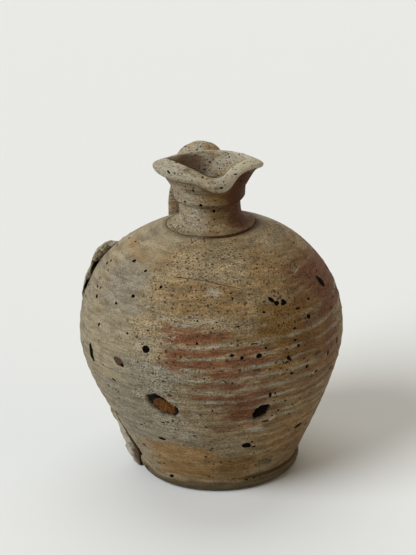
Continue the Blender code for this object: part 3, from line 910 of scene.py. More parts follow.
def make_neck(material):
    azimuths = np.linspace(0, 2 * pi, neck_columns, endpoint=False)
    outside = np.repeat(neck_outside()[:, None, :], neck_columns, axis=1)
    bore = np.full((1, neck_columns, 2), (neck_bore_radius, neck_base_height))
    sections = np.concatenate((outside, lip_sections(azimuths), bore))
    along = length_along(sections.mean(axis=1))
    count = round(along[-1] / neck_row)
    places = np.interp(np.linspace(0, along[-1], count), along, np.arange(len(along)))
    low = np.minimum(places.astype(int), len(along) - 2)
    share = (places - low)[:, None, None]
    rows = soften(sections[low] * (1 - share) + sections[low + 1] * share, neck_fixed_rows)
    points = on_ring(rows[..., 0], azimuths[None, :], rows[..., 1])
    centre = np.stack((axis_at(rows[..., 1]), np.zeros(rows.shape[:2]), rows[..., 1]), axis=-1)
    swell = neck_swell * rough(points, *neck_swell_roughness)
    swell = swell + neck_line_rise * noise(points, *neck_line_grain)
    swell = swell * ease(0, neck_still_rows, np.arange(count))[:, None]
    points = points + unit(points - centre) * swell[..., None]
    neck = fill_mesh("thrown_neck", points, grid_faces(count, neck_columns, ring_rows=True), material)
    lip_turn = (places - len(neck_outside())) / curve_steps
    add_strengths(neck, points, neck_strengths(azimuths, rows[..., 1], points, lip_turn[:, None]))
    return neck


# Kiln colours on the neck, and painted shade (groove), with heights over its base
neck_zones = {
    "flash": (
        (34, 100, 24, 50, 0.7), (20, 40, 26, 40, 0.3),
    ),
    "plum": (
        (30, 120, 14, 50, 1), (34, 120, 0, 18, 0.8), (110, 200, 0, 60, 0.4),
    ),
    "ochre": (
        (-4, 38, 24, 44, 0.6), (-20, 90, 0, 5, 0.35), (150, 200, 36, 60, 0.5), (-10, 60, 8, 24, 0.5),
    ),
    "grey": (
        (-70, -10, 2, 14, 0.35), (-90, -20, 36, 46, 0.4),
    ),
    "ash": (
        (-90, -12, 3, 40, 0.5), (-12, 20, 3, 16, 0.2),
    ),
    "warm": (
        (-10, 200, -4, 46, 1), (-90, -10, -4, 46, 0.6),
    ),
    # Painted shade: under the lip and the collar's ridge, and on the neck's right side, away from the light
    "groove": (
        (36, 120, 20, 48, 0.8), (40, 120, 2, 20, 0.45), (-35, 34, 35, 42, 0.35), (-20, 34, 18, 24, 0.45),
        (14, 44, 16, 36, 0.3),
    ),
}
neck_softness = 2
neck_angle_ripples = ((8, (9 * mm,) * 3, 41),)
neck_height_ripples = ((3, (7 * mm,) * 3, 42),)
neck_turn_ripples = ((0.25, (6 * mm,) * 3, 44),)
neck_patch_grain = ((11 * mm, 11 * mm, 8 * mm), 43)
neck_speckle = 0.7
neck_grit = 0.1

# The lip and the throat: the guide points where their skin starts and is full, and its patches
lip_turns = (1.3, 1.8)
lip_ash_shares = (0.55, 0.3)
lip_bare_angles = (-8, 40)
lip_bare_share = 0.5
lip_grey_share = 0.45
# A painted highlight on the lip's right side, which faces the light: its angles and strength
lip_highlight_angles = (-5, 35, 130, 180)
lip_highlight_share = 0.75
throat_turns = (4.2, 5)
# Painted shade on the throat's inner wall, away from the light: where it starts and is full, its angles and
# strength
throat_shade_turns = (4.3, 5.2)
throat_shade_angles = (165, 205, 265, 290)
throat_shade_share = 0.8
# The throat's ochre, ash, warmth and rust
throat_ochre_angles = (150, 175, 205, 225)
throat_ochre_shares = (0.1, 0.6)
throat_ash_shares = (0.75, 0.7)
throat_warm_share = 0.4
throat_rust_share = 0.6


def neck_strengths(azimuths, heights, points, lip_turn):
    """The kiln colours' strengths over the neck, with painted shade in the throat and a painted highlight
    on the lip. lip_turn counts the lip's guide points passed.
    """
    angle = np.degrees(azimuths) - camera_azimuth + ripple(points, neck_angle_ripples)
    height = (heights - neck_base_height) / mm + ripple(points, neck_height_ripples)
    turn = lip_turn + ripple(points, neck_turn_ripples)
    around = angle % full_turn
    patch = (1 + noise(points, *neck_patch_grain)) / 2
    on_lip = ease(*lip_turns, turn)
    inside = ease(*throat_turns, turn)
    lip = on_lip * (1 - inside)
    strengths = {name: (1 - on_lip) * zones(table, angle, height, neck_softness)
                 for name, table in neck_zones.items()}
    level, swing = throat_ochre_shares
    strengths["ochre"] += inside * patch * (level + swing * band(around, *throat_ochre_angles))
    # Painted shade on the throat's inner wall, away from the light
    strengths["groove"] += (throat_shade_share * ease(*throat_shade_turns, turn)
                            * band(around, *throat_shade_angles))
    strengths["grey"] += lip_grey_share * on_lip * patch
    level, swing = lip_ash_shares
    strengths["ash"] += lip * (level + swing * patch) * (1 - lip_bare_share * bump(lip_bare_angles, angle))
    level, swing = throat_ash_shares
    strengths["ash"] += level * inside * (1 - swing * patch)
    # Painted highlight on the lip's side that faces the light
    strengths["painted_highlight"] = lip_highlight_share * lip * band(angle, *lip_highlight_angles)
    strengths["warm"] += throat_warm_share * inside
    strengths["rust"] = throat_rust_share * inside * patch
    return {**strengths, "speckle": neck_speckle, "grit": neck_grit}


def handle_path():
    """The strap's centre line, from inside the back of the collar over to the shoulder and down it."""
    outs = collar_radius + (handle_reach - collar_radius) * np.array(handle_out_shares)
    shoulder = wall_line[wall_line[:, 1] >= belly_height][::-1]
    wall_height = np.interp(outs[-1], shoulder[:, 0], shoulder[:, 1])
    landing_height = wall_height + handle_foot_stand
    rise = rim_height - handle_top_drop - landing_height
    strap = np.column_stack((handle_swing * np.array(handle_side_shares), outs,
                             landing_height + rise * np.array(handle_up_shares)))
    heights = wall_height - np.array(handle_foot_falls)
    lifts = np.array(handle_foot_lifts)
    radius, out, up = wall_at(heights)
    foot = np.column_stack((np.full(len(lifts), strap[-1][0]), radius + out * lifts, heights + up * lifts))
    return smooth_curve(np.concatenate((strap, foot)))


def out_of_neck(points):
    """The points kept out of the neck's hollow, in the thickness of its wall."""
    line = neck_outside()
    limit = np.interp(points[..., 2], line[:, 1], line[:, 0]) - handle_root_sink
    across = points[..., 0] - axis_at(points[..., 2])
    share = np.maximum(limit / np.hypot(across, points[..., 1]), 1)
    kept = points.copy()
    kept[..., 0] += across * (share - 1)
    kept[..., 1] *= share
    return kept


def end_rows(row):
    """Rows that close a tube's end, from its middle to its edge."""
    middle = row.mean(axis=0)
    return np.array([middle + (row - middle) * share for share in handle_end_shares])


# The handle's colours: level, swing, size of the patches and seed, and the even ones
handle_patches = {
    "flash": (0.05, 0.05, 15 * mm, 52),
    "ochre": (0.12, 0.3, 18 * mm, 53),
    "grey": (0, 0.3, 16 * mm, 54),
    "ash": (0.42, 0.35, 16 * mm, 55),
    "rust": (0.35, 0.3, 14 * mm, 58),
}
handle_even = {"warm": 1, "speckle": 0.5, "grit": 0.15}


def make_handle(material):
    path = resample(handle_path(), strap_row)
    ways = unit(np.gradient(path, axis=0))
    along = np.linspace(0, 1, len(path))
    from_root = ease(collar_radius, collar_radius + handle_root_flare_reach, path[:, 1])
    flare = handle_root_flare * (1 - from_root) ** 2
    thin = ease(*handle_foot_thin_shares, along)
    widths = handle_width + handle_foot_spread * ease(*handle_spread_shares, along) + flare
    widths = widths * (1 - handle_foot_narrowing * thin ** 2)
    thicknesses = handle_thickness + handle_root_swell * (1 - ease(0, handle_swell_share, along)) + flare
    thicknesses = thicknesses * (1 - handle_foot_thinning * thin)
    sides = unit(np.array((1, 0, 0)) - ways[:, :1] * ways)
    ups = np.cross(ways, sides)
    turns = np.linspace(0, 2 * pi, strap_points, endpoint=False)
    across = np.cos(turns)[None, :] * widths[:, None] / 2
    from_groove = (np.abs(np.cos(turns)) - handle_groove_place_share) / handle_groove_width_share
    groove = 1 - handle_groove_depth_share * np.exp(-from_groove ** 2)
    over = (np.sin(turns) * groove)[None, :] * thicknesses[:, None] / 2 + handle_arch * np.cos(turns) ** 2
    points = path[:, None, :] + across[..., None] * sides[:, None, :] + over[..., None] * ups[:, None, :]
    points = np.concatenate((end_rows(points[0]), points, end_rows(points[-1])[::-1]))
    uneven = np.stack([rough(points, *roughness) for roughness in handle_roughnesses], axis=-1)
    points = out_of_neck(points + handle_uneven * uneven)
    handle = fill_mesh("pulled_handle", points, grid_faces(len(points), strap_points), material)
    add_strengths(handle, points, {**handle_even, **patches(points, handle_patches)})
    return handle


def rounded(share, width):
    """0 at an edge, 1 from the width on, with a round shoulder between."""
    return np.sqrt(np.clip(1 - (1 - np.clip(share / width, 0, 1)) ** 2, 0, 1))


def slab(low, high, near_angles, far_angles, lifts, size):
    """A closed slab on the wall: its outer and inner points from the shares up and across."""
    up = np.linspace(0, 1, size[0])[:, None]
    across = np.linspace(0, 1, size[1])[None, :]
    heights = low + (high - low) * up + 0 * across
    near = np.radians(between(near_angles, up))
    far = np.radians(between(far_angles, up))
    azimuths = far + (near - far) * across
    flat = on_ring(foot_radius, azimuths, heights)
    azimuths = azimuths + slab_edge_swing * (2 * across - 1) ** 3 * rough(flat, *slab_swing_roughness)
    heights = heights + slab_edge_rise * np.abs(2 * up - 1) ** 3 * rough(flat, *slab_rise_roughness)
    heights = np.maximum(heights, wad_low_height)
    radius, out, rise = wall_at(heights)
    low_down = (heights < belly_height) & (radius < foot_radius)
    radius = np.where(low_down, foot_radius, radius)
    out = np.where(low_down, 1, out)
    rise = np.where(low_down, 0, rise)
    base = on_ring(radius, azimuths, heights)
    return np.stack([off_wall(base, azimuths, out, rise, slab_stand + lift)
                     for lift in lifts(up, across, base)])


def slab_faces(rows, columns):
    """Faces of a slab: its outer grid, its inner grid and the strip round its edge."""
    outer = grid_faces(rows, columns, ring_columns=False)
    count = rows * columns
    inner = outer[:, ::-1] + count
    index = np.arange(count).reshape(rows, columns)
    edge = np.concatenate((index[0, :-1], index[:-1, -1], index[-1, :0:-1], index[:0:-1, 0]))
    after = np.roll(edge, -1)
    strip = np.column_stack((after, edge, edge + count, after + count))
    return np.concatenate((outer, inner, strip))


def shard_lifts(up, across, base):
    """The fragment's outer and inner lift, rough and pitted, with two hollows behind it."""
    outer = shard_thickness * between(shard_up_shares, up) * between(shard_across_shares, across)
    hollow = (shard_hollow_depth * between(shard_hollow_up_shares, up)
              * between(shard_hollow_across_shares, across))
    for share, width in zip((across, up, 1 - up), shard_round_shares):
        outer = outer * rounded(share, width)
    pits = shard_lump_rise * rough(base, *shard_lump_roughness)
    pits = pits + shard_pit_rise * noise(base, *shard_pit_grain)
    pits = pits * at_least(shard_skin_share, raw_share(across, base))
    pits = pits * at_least(shard_edge_share, band(across, *shard_edge_shares))
    return np.maximum(outer, hollow + slab_thin_edge) + pits, np.minimum(hollow, outer)


def raw_share(across, base):
    """How far the fragment's skin is broken away, towards its near side."""
    return ease(*shard_raw_shares, across + shard_raw_swing * rough(base, *shard_raw_roughness))


def make_shard(material):
    points = slab(shard_low_height, shard_high_height, shard_near_angles, shard_far_angles,
                  shard_lifts, shard_grid)
    shard = fill_mesh("kiln_fragment", points, slab_faces(*shard_grid), material)
    outer = points[0]
    torn = (shard_torn_share + shard_torn_swing * rough(outer, *shard_torn_roughness)
            + raw_share(np.linspace(0, 1, shard_grid[1]), outer))
    add_value(shard, "raw", np.stack((torn, np.ones_like(torn))))
    return shard


def wad_lifts(up, across, base):
    """The flap's outer and inner lift, lumpy, and thin at its edges."""
    lift = wad_thickness * between(wad_up_shares, up) * between(wad_across_shares, across)
    for share, width in zip((across, 1 - up), wad_round_shares):
        lift = lift * rounded(share, width)
    lumps = wad_lump_rise * rough(base, *wad_lump_roughness)
    lumps = lumps + wad_pit_rise * rough(base, *wad_pit_roughness)
    return np.maximum(lift, slab_thin_edge) + lumps * band(across, *wad_edge_shares), 0 * lift


# The flap's colours, as on the handle, with painted shade along its crack at the near edge, its pale edge
# and its ashy foot
wad_patches = {
    "ochre": (0.25, 0.3, 13 * mm, 74),
    "grey": (0.2, 0.3, 15 * mm, 72),
    "ash": (0.35, 0.4, 12 * mm, 75),
}
wad_even = {"warm": 0.5, "speckle": 0.4, "grit": 0.2}
wad_crack_shares = (0.93, 0.97)
wad_crack_widening = 0.02
wad_crack_heights = (12 * mm, 18 * mm)
wad_crack_shade = 0.85
wad_crack_swing = 0.03
wad_crack_roughness = (5 * mm, 76, 3)
wad_pale_shares = (0.45, 0.75)
wad_pale_strength = 0.45
wad_olive_heights = (4 * mm, 10 * mm)


def make_wad(material):
    points = slab(wad_low_height, wad_high_height, wad_near_angles, wad_far_angles, wad_lifts, wad_grid)
    wad = fill_mesh("clay_flap", points, slab_faces(*wad_grid), material)
    across = np.linspace(0, 1, wad_grid[1])
    heights = points[..., 2]
    start, full = wad_crack_shares
    start = start - wad_crack_widening * (1 - ease(*wad_crack_heights, heights))
    uneven = across + wad_crack_swing * rough(points, *wad_crack_roughness)
    strengths = {**wad_even, **patches(points, wad_patches)}
    # Painted shade along the crack at the flap's near edge
    strengths["groove"] = wad_crack_shade * ease(start, full, uneven)
    strengths["ash"] += wad_pale_strength * ease(*wad_pale_shares, across)
    strengths["olive"] = 1 - ease(*wad_olive_heights, heights)
    add_strengths(wad, points, strengths)
    return wad


def make_stone(name, socket, material, place_share, length_share, lump_share, roughness):
    """A rough stone lying in its socket."""
    middle, long_way, short_way, normal = socket_frame(socket)
    half_depth = socket_depth * pebble_depth_share
    middle = middle - normal * (socket_depth - half_depth - slab_stand)
    middle = middle + long_way * (socket["length"] * place_share)
    polar = np.linspace(stone_pole, pi - stone_pole, stone_grid[0])[:, None]
    turn = np.linspace(0, 2 * pi, stone_grid[1], endpoint=False)[None, :]
    parts = ((long_way, socket["length"] * length_share * np.sin(polar) * np.cos(turn)),
             (short_way, socket["width"] * pebble_size_share * np.sin(polar) * np.sin(turn)),
             (normal, -half_depth * np.cos(polar) * np.ones_like(turn)))
    offset = sum(np.array(way)[None, None, :] * size[..., None] for way, size in parts)
    points = np.array(middle) + offset
    points = points + offset * (lump_share * rough(points, *roughness))[..., None]
    stone = fill_mesh(name, points, grid_faces(*stone_grid), material)
    add_value(stone, "burnt", ease(*stone_burnt_shares, np.sin(polar) * np.ones_like(turn)))
    return stone


# Marks on the body: azimuth, height, width, height of the mark and tilt. Round ones have a width only.
black_marks = (
    (-63.3, 124.5, 7.4, 12, 4), (-61.5, 119, 4.4, 6), (15.5, 50.6, 7.5, 6, -12), (17.3, 49.2, 4, 3.4),
    (-40.9, 125.2, 4, 3.2, -20), (-56.3, 197.8, 4, 3), (-41.9, 195.1, 3, 2.5), (-41.1, 178.8, 4, 3, 10),
    (-49.9, 170.6, 3, 2.2), (-26.9, 187.7, 3, 2.5), (-6, 167.2, 1.7), (-57.7, 150.2, 3),
    (-28.4, 157.5, 1.9, 1.5), (-38.8, 151.9, 2.6, 1.9), (-30.7, 146.3, 2, 1), (-28.7, 142.7, 6.6, 6),
    (-6.2, 150.6, 2.1, 1.7), (-22.1, 139.4, 1), (-22.4, 137, 1.5), (-29.3, 128.1, 1.3),
    (-47.2, 108.7, 3.9, 2.2, -25), (-25.3, 124, 1.2), (-20.8, 118, 2.5, 1.3), (-24.8, 117, 1.3),
    (-53, 99.4, 2), (-46.8, 97.3, 1.5), (-49, 89.2, 3, 1.3), (-25.7, 75.7, 2.3), (-22.9, 76.9, 2.3, 1.6),
    (-18, 76.3, 1.2), (-40.5, 67.3, 3, 1.4), (-20.2, 69.5, 1, 2), (-30.8, 55.7, 7, 3, -8),
    (-7.2, 40.3, 2.4, 1.8), (-39.7, 23.2, 3.5, 1.5), (10.6, 184.6, 1.8, 1.6), (11, 181.3, 1.8, 1.6),
    (30.7, 176.7, 3, 2.2), (32.6, 173.4, 4.7, 3.5), (34.2, 175.6, 3.4, 0.9), (36.4, 171.9, 6, 3, 12),
    (35.6, 179.4, 1.5), (24.9, 169.2, 3, 1.9), (43.2, 165.2, 5, 1.7), (52, 168.3, 2.6, 2.2),
    (11.7, 161.7, 2.6, 1.3), (2.5, 166, 1.4, 1.2), (0.8, 161.7, 1.4, 1.2), (16.7, 156.2, 1),
    (48.2, 156.6, 4.3, 3.9), (38.5, 152, 2.8, 2.2), (17.6, 147.6, 4.7, 0.9), (23.1, 142.7, 2.3),
    (37.8, 142.8, 3, 1.9), (8.2, 140.4, 3.4, 2.8), (12.3, 137.7, 2.8, 3.3, -30), (19.7, 137.7, 5, 3.6),
    (39, 137.7, 3), (42.6, 136.1, 2.6, 1), (33.3, 130.5, 3.3, 3.9), (34.2, 128.3, 2, 2.6, -20),
    (32.3, 127.2, 4.3, 1.7, 20), (30.7, 128, 1.6), (41.7, 125.7, 3.4, 1), (43.8, 121.9, 1.3),
    (43.3, 117.4, 3.6, 3.4), (58.2, 119.3, 3, 3.9, -20), (4.8, 119.3, 5, 0.9, -40), (8, 116.9, 1.7, 1.3),
    (-3.4, 122.3, 1.7, 1.5), (34.8, 116.1, 3.3, 2.4), (28, 118.6, 1.2), (50.1, 108.6, 3.9, 2.4),
    (24.9, 101.6, 3, 3.4), (24.9, 99.4, 3.4, 1.7), (27.3, 101.6, 1.5, 2.6), (28.2, 98, 1.3, 1.9),
    (64.5, 101, 3), (-0.9, 92, 1.3, 2), (33.5, 90.9, 2.2), (30.5, 82.7, 2.6, 2.2), (27.5, 78.6, 2.2, 1.9),
    (24.5, 74.1, 7.3, 1.9, -8), (18.9, 53.6, 2.4), (20.5, 47.6, 3.3, 2.6), (49.6, 54.5, 9, 4, 6),
    (42.1, 54.7, 1.5),
)
brown_marks = (
    (-71, 185.9, 2.5, 2), (-67.2, 174.3, 3, 2.5), (-22.4, 178.8, 1.7), (-18.3, 175.2, 2, 1.5),
    (-12, 183.4, 1.6, 1.3), (-9.7, 177.5, 2, 1.3), (-19.1, 134.5, 2.4, 1.9), (-42.9, 127.2, 11, 7, -15),
    (-53, 118.6, 2), (-18.8, 105.3, 4.7, 3), (-7.3, 111.5, 1.5), (-61.8, 66.3, 9, 4.5, 20),
    (-22.8, 59.7, 4, 1.8), (-11.2, 64.3, 2.5), (-49.6, 39.5, 5, 4, 30), (-31.4, 28.6, 2),
    (-7.4, 16.2, 2.4, 2), (58.2, 193.8, 4, 2), (1, 183, 1.5), (3.6, 173.2, 2, 1.5), (33.7, 164.3, 1.9, 1.4),
    (46.3, 153.4, 2.6), (21.1, 145.6, 3.4, 0.9), (3.6, 128.2, 3.9, 1.3), (18.3, 126.2, 8, 2),
    (50.5, 125, 8, 3), (47.3, 106.3, 3.9, 3), (45.9, 98.1, 1.5), (38.6, 83.9, 2.6, 1.3),
    (38.2, 74.3, 3, 2.2), (11.3, 73.4, 1.9, 1.5), (20.9, 40.4, 2), (9.5, 12.3, 2.6, 1.9),
    (30.7, 118, 5, 1.7), (6.4, 33.9, 3, 1.5),
)
olive_marks = (
    (-45.1, 21.4, 5, 2.5), (-6.1, 33.8, 2), (48.9, 88.9, 3, 2.2), (59.4, 50.3, 7, 1.9),
    (-3.1, 50.3, 2.6, 2.2), (-3.1, 31.3, 2.6, 1.7), (25.8, 28, 2, 1.7), (28.6, 28.2, 2, 1.7),
    (31.4, 28.2, 2, 1.7), (34.9, 25.3, 3.9, 2.2),
)
grey_marks = (
    (-73.6, 178.8, 4, 3), (-35.3, 154.2, 1.7), (-17.4, 147.6, 1.7, 1.3), (53.9, 163.7, 2.6, 1.5),
    (2.7, 157.7, 3.4, 1.3), (-34.2, 73.1, 2.4), (-53.3, 165, 1.8),
)

# Marks on the neck, the handle and the body's edge: pixel, width, height and tilt
pixel_marks = (
    (200.7, 205.4, 3, 2.8), (213.9, 211.1, 2.6, 3), (214.1, 219.3, 1.5, 1.2), (184.6, 201.4, 1.2, 1.4),
    (193.1, 190.7, 1.8, 2.2), (185.5, 186.7, 1.5), (221.3, 188, 2.6, 1.8), (235.5, 174.2, 3.4, 1.1),
    (232, 176, 1.2, 1), (227, 175.1, 1.1, 1), (185.2, 146.2, 3.6, 1.6, 40), (168.6, 172, 4.4, 1.8, -35),
    (182, 173.8, 1.6, 1.3), (167.2, 179.1, 1.6, 1.4), (178.4, 180, 2, 1), (229.3, 156.8, 1.3, 2),
    (219.5, 168.4, 1.4, 1.2), (209.6, 162.1, 1.5, 2.2, -30), (243.6, 163.5, 2.4, 0.8),
    (204.3, 169.3, 1.6, 1.3, 30), (170.6, 192.1, 1.8, 1.5), (217.6, 232.9, 2.4, 1), (223.6, 182, 1, 1.2),
    (176, 162.5, 2.4, 1), (331.8, 366.2, 2.5), (327, 267.7, 2), (316.4, 270.4, 2),
    (321.5, 282, 7, 10.5, 25), (317.5, 278, 4), (271.3, 300, 7, 3.6, -38), (276.5, 303.2, 4.6, 4),
    (283.5, 302, 4.4, 4.2, 30), (336.8, 289.8, 2.5), (339.5, 299.9, 2.5), (336.8, 341.8, 2.5),
    (199.2, 168.2, 1.2, 1), (191.8, 180.2, 1.2), (199, 184, 1), (195, 176.5, 1), (206.5, 179.3, 1),
    (186.6, 190.5, 1, 1.2), (240.6, 181, 2, 1.2), (249, 172.5, 2, 1.2, 20), (244.5, 186, 1.4),
    (147.2, 467.5, 5.4, 2, -28), (171.8, 476, 4.2, 3, 10), (246.5, 479.5, 2.2, 1.6), (254, 477.5, 2.2, 1.6),
    (126, 446, 1.8, 2.4), (131.5, 455, 2.6, 1.6, -40),
)
pixel_brown_marks = (
    (200.7, 146.6, 2.2, 1.5, 30), (243.1, 153.7, 5, 1.6, -8), (233, 199, 2, 1.4), (240, 204, 1.6, 1.4),
    (196, 166, 1.4, 1.2), (187, 158, 1.6, 1),
)

# Hair lines and cracks, and painted shade lines along the groove at the neck's base: width, then the pixels
# they pass
brown_lines = (
    (0.8, ((176.8, 277.7), (188, 278.6), (199.7, 280), (213, 282.6), (226, 285.8), (242, 289))),
    (0.7, ((209, 176.6), (213, 177.4), (218, 177))),
    # Painted shade: a thin dark line in the groove at the neck's base, on the left
    (0.7, ((171, 224), (176, 231), (184, 235.5), (192, 238))),
)
black_lines = (
    # Painted shade: the dark line in the groove at the neck's base, on the right
    (0.9, ((213, 237.8), (225, 237.6), (236, 235.2), (245, 231.5), (252, 227), (256.5, 221.5))),
    (0.8, ((176, 276.8), (180, 277.6), (186, 278.4))),
)
line_step_px = 1.5
line_edge_lift = 0.05 * mm
line_crest_lift = 0.25 * mm
line_taper = 0.12

# Marks: rings of each one as share and lift, and how uneven its outline is
mark_rings = ((1, 0.05), (0.72, 0.18), (0.35, 0.26))
mark_points = 18
mark_uneven_share = 0.22
mark_uneven_reach = 1.4
mark_uneven_step = 7.3
mark_uneven_grain = ((1, 1, 1), 81)

# Marks strewn out of the camera's view: limits of their azimuth, height, width, the share that scales it,
# their height as a share of it, and their tilt
unseen_mark_count = 190
unseen_mark_seed = 7
unseen_limits = ((66, 294), (14, 206), (1.2, 3.4), (0.8, 1.5), (0.5, 1), (-20, 20))


def mark_outline(number, angle, height, width, tall=None, tilt=0):
    """The uneven outline of a mark, beside and over its middle. A round one gives its width only."""
    turns = np.linspace(0, 2 * pi, mark_points, endpoint=False)
    ring = np.column_stack((np.cos(turns), np.sin(turns), 0 * turns)) * mark_uneven_reach
    place = np.array((number * mark_uneven_step, height, angle))
    uneven = 1 + mark_uneven_share * noise(place + ring, *mark_uneven_grain)
    across = width / 2 * uneven * np.cos(turns)
    upwards = (tall or width) / 2 * uneven * np.sin(turns)
    lean = radians(tilt)
    return (across * cos(lean) - upwards * sin(lean)) * mm, (across * sin(lean) + upwards * cos(lean)) * mm


def mark_mesh(name, marks, place, material):
    """Small lens-shaped marks with uneven outlines. place gives points from azimuths and heights."""
    points = []
    faces = []
    for number, mark in enumerate(marks):
        level, rise = mark_outline(number, *mark)
        first = sum(len(part) for part in points)
        for share, lift in mark_rings:
            points.append(place(*mark[:2], level * share, rise * share, lift * mm))
        points.append(place(*mark[:2], np.zeros(1), np.zeros(1), mark_rings[-1][1] * mm))
        faces.extend(grid_faces(len(mark_rings), mark_points) + first)
        last = first + (len(mark_rings) - 1) * mark_points
        faces.extend((last + k, last + (k + 1) % mark_points, last + mark_points)
                     for k in range(mark_points))
    return fill_mesh(name, np.concatenate(points), faces, material)


def on_body(angle, height, level, rise, lift):
    """Points of a mark on the body, from their places beside and over its middle."""
    start = np.interp(height * mm, wall_line[:, 1], wall_along)
    heights = np.interp(start + rise, wall_along, wall_line[:, 1])
    radius = np.interp(heights, wall_line[:, 1], wall_line[:, 0])
    azimuths = radians(angle + camera_azimuth) + level / radius
    return body_surface(azimuths, heights, lift)


def surface_tree(*pieces):
    """The finished surface of pieces, to lay marks on."""
    points = []
    faces = []
    for piece in pieces:
        first = len(points)
        points.extend(vertex.co.copy() for vertex in piece.data.vertices)
        faces.extend([first + k for k in face.vertices] for face in piece.data.polygons)
    return BVHTree.FromPolygons(points, faces)


def camera_ways():
    """The camera's right, up and forward ways."""
    azimuth = radians(camera_azimuth)
    right = Vector((cos(azimuth), sin(azimuth), 0))
    away = Vector((-sin(azimuth), cos(azimuth), 0))
    forward = away * cos(camera_elevation) - Vector((0, 0, sin(camera_elevation)))
    upward = away * sin(camera_elevation) + Vector((0, 0, cos(camera_elevation)))
    return (right * cos(camera_roll) - upward * sin(camera_roll),
            right * sin(camera_roll) + upward * cos(camera_roll), forward)


def camera_place():
    return Vector((0, 0, target_height)) - camera_ways()[2] * camera_distance


def seen_at(surface, pixel_x, pixel_y):
    """The place and the normal of the surface that the camera sees at a pixel of the photograph."""
    right, upward, forward = camera_ways()
    way = (forward + right * ((pixel_x - target_px[0]) / focal_length_px)
           - upward * ((pixel_y - target_px[1]) / focal_length_px)).normalized()
    return surface.ray_cast(camera_place(), way)[:2]


def line_mesh(name, lines, surface, material):
    """Thin low ridges with tapered ends along rows of pixels of the photograph."""
    points = []
    faces = []
    for width, pixels in lines:
        row = resample(np.array(pixels, float), line_step_px)
        seen = [seen_at(surface, *pixel) for pixel in row.tolist()]
        middles = np.array([middle for middle, _ in seen])
        normals = np.array([normal for _, normal in seen])
        taper = np.sin(np.linspace(line_taper, pi - line_taper, len(row)))[:, None] ** 0.5
        side = unit(np.cross(normals, np.gradient(middles, axis=0))) * (width * mm / 2) * taper
        first = sum(len(part) for part in points)
        edge = middles + normals * line_edge_lift
        crest = middles + normals * line_crest_lift
        points.append(np.stack((edge - side, crest, edge + side), axis=1).reshape(-1, 3))
        faces.extend(grid_faces(len(row), 3, ring_columns=False) + first)
    return fill_mesh(name, np.concatenate(points), faces, material)


def on_pixel(surface):
    """Gives points of a mark on a surface that the camera sees at a pixel of the photograph."""

    def place(pixel_x, pixel_y, level, rise, lift):
        middle, normal = seen_at(surface, pixel_x, pixel_y)
        across = Vector((0, 0, 1)).cross(normal).normalized()
        over = normal.cross(across)
        points = []
        for u, v in zip(level, rise):
            near, out, _, _ = surface.find_nearest(middle + across * float(u) + over * float(v))
            points.append(near + out * lift)
        return np.array(points)

    return place


def unseen_marks():
    """Marks for the sides and the back, strewn at random."""
    strewn = np.random.default_rng(unseen_mark_seed)
    angles, heights, widths, width_shares, tall_shares, tilts = (
        strewn.uniform(*limits, unseen_mark_count) for limits in unseen_limits)
    widths = widths * width_shares
    return tuple(zip(angles, heights, widths, widths * tall_shares, tilts))


def add_node(tree, kind, **settings):
    made = tree.nodes.new(kind)
    for name, value in settings.items():
        setattr(made, name, value)
    return made


def feed(socket, value):
    """Links a node's value to an input, or writes a number or a colour on it."""
    if isinstance(value, Value):
        socket.id_data.links.new(value.socket, socket)
    else:
        socket.default_value = value


class Value:
    """A number or a colour that a node gives. Sums with it make more nodes."""

    def __init__(self, socket):
        self.socket = socket

    def joined(self, operation, other, clamp=False):
        made = add_node(self.socket.id_data, "ShaderNodeMath", operation=operation, use_clamp=clamp)
        feed(made.inputs[0], self)
        feed(made.inputs[1], other)
        return Value(made.outputs[0])

    def __add__(self, other):
        return self.joined('ADD', other)

    def __sub__(self, other):
        return self.joined('SUBTRACT', other)

    def __mul__(self, other):
        return self.joined('MULTIPLY', other)

    def or_more(self, other):
        return self.joined('MAXIMUM', other)

    def filled_up(self, other):
        """The sum with other, from 0 to 1."""
        return self.joined('ADD', other, clamp=True)

    def step(self, low, high):
        """0 below low, 1 above high, smooth between."""
        made = add_node(self.socket.id_data, "ShaderNodeMapRange", interpolation_type='SMOOTHSTEP')
        feed(made.inputs["Value"], self)
        feed(made.inputs["From Min"], low)
        feed(made.inputs["From Max"], high)
        return Value(made.outputs["Result"])

    def swing(self, amount):
        """A texture's value as a push up or down by the amount."""
        return (self - texture_middle) * amount


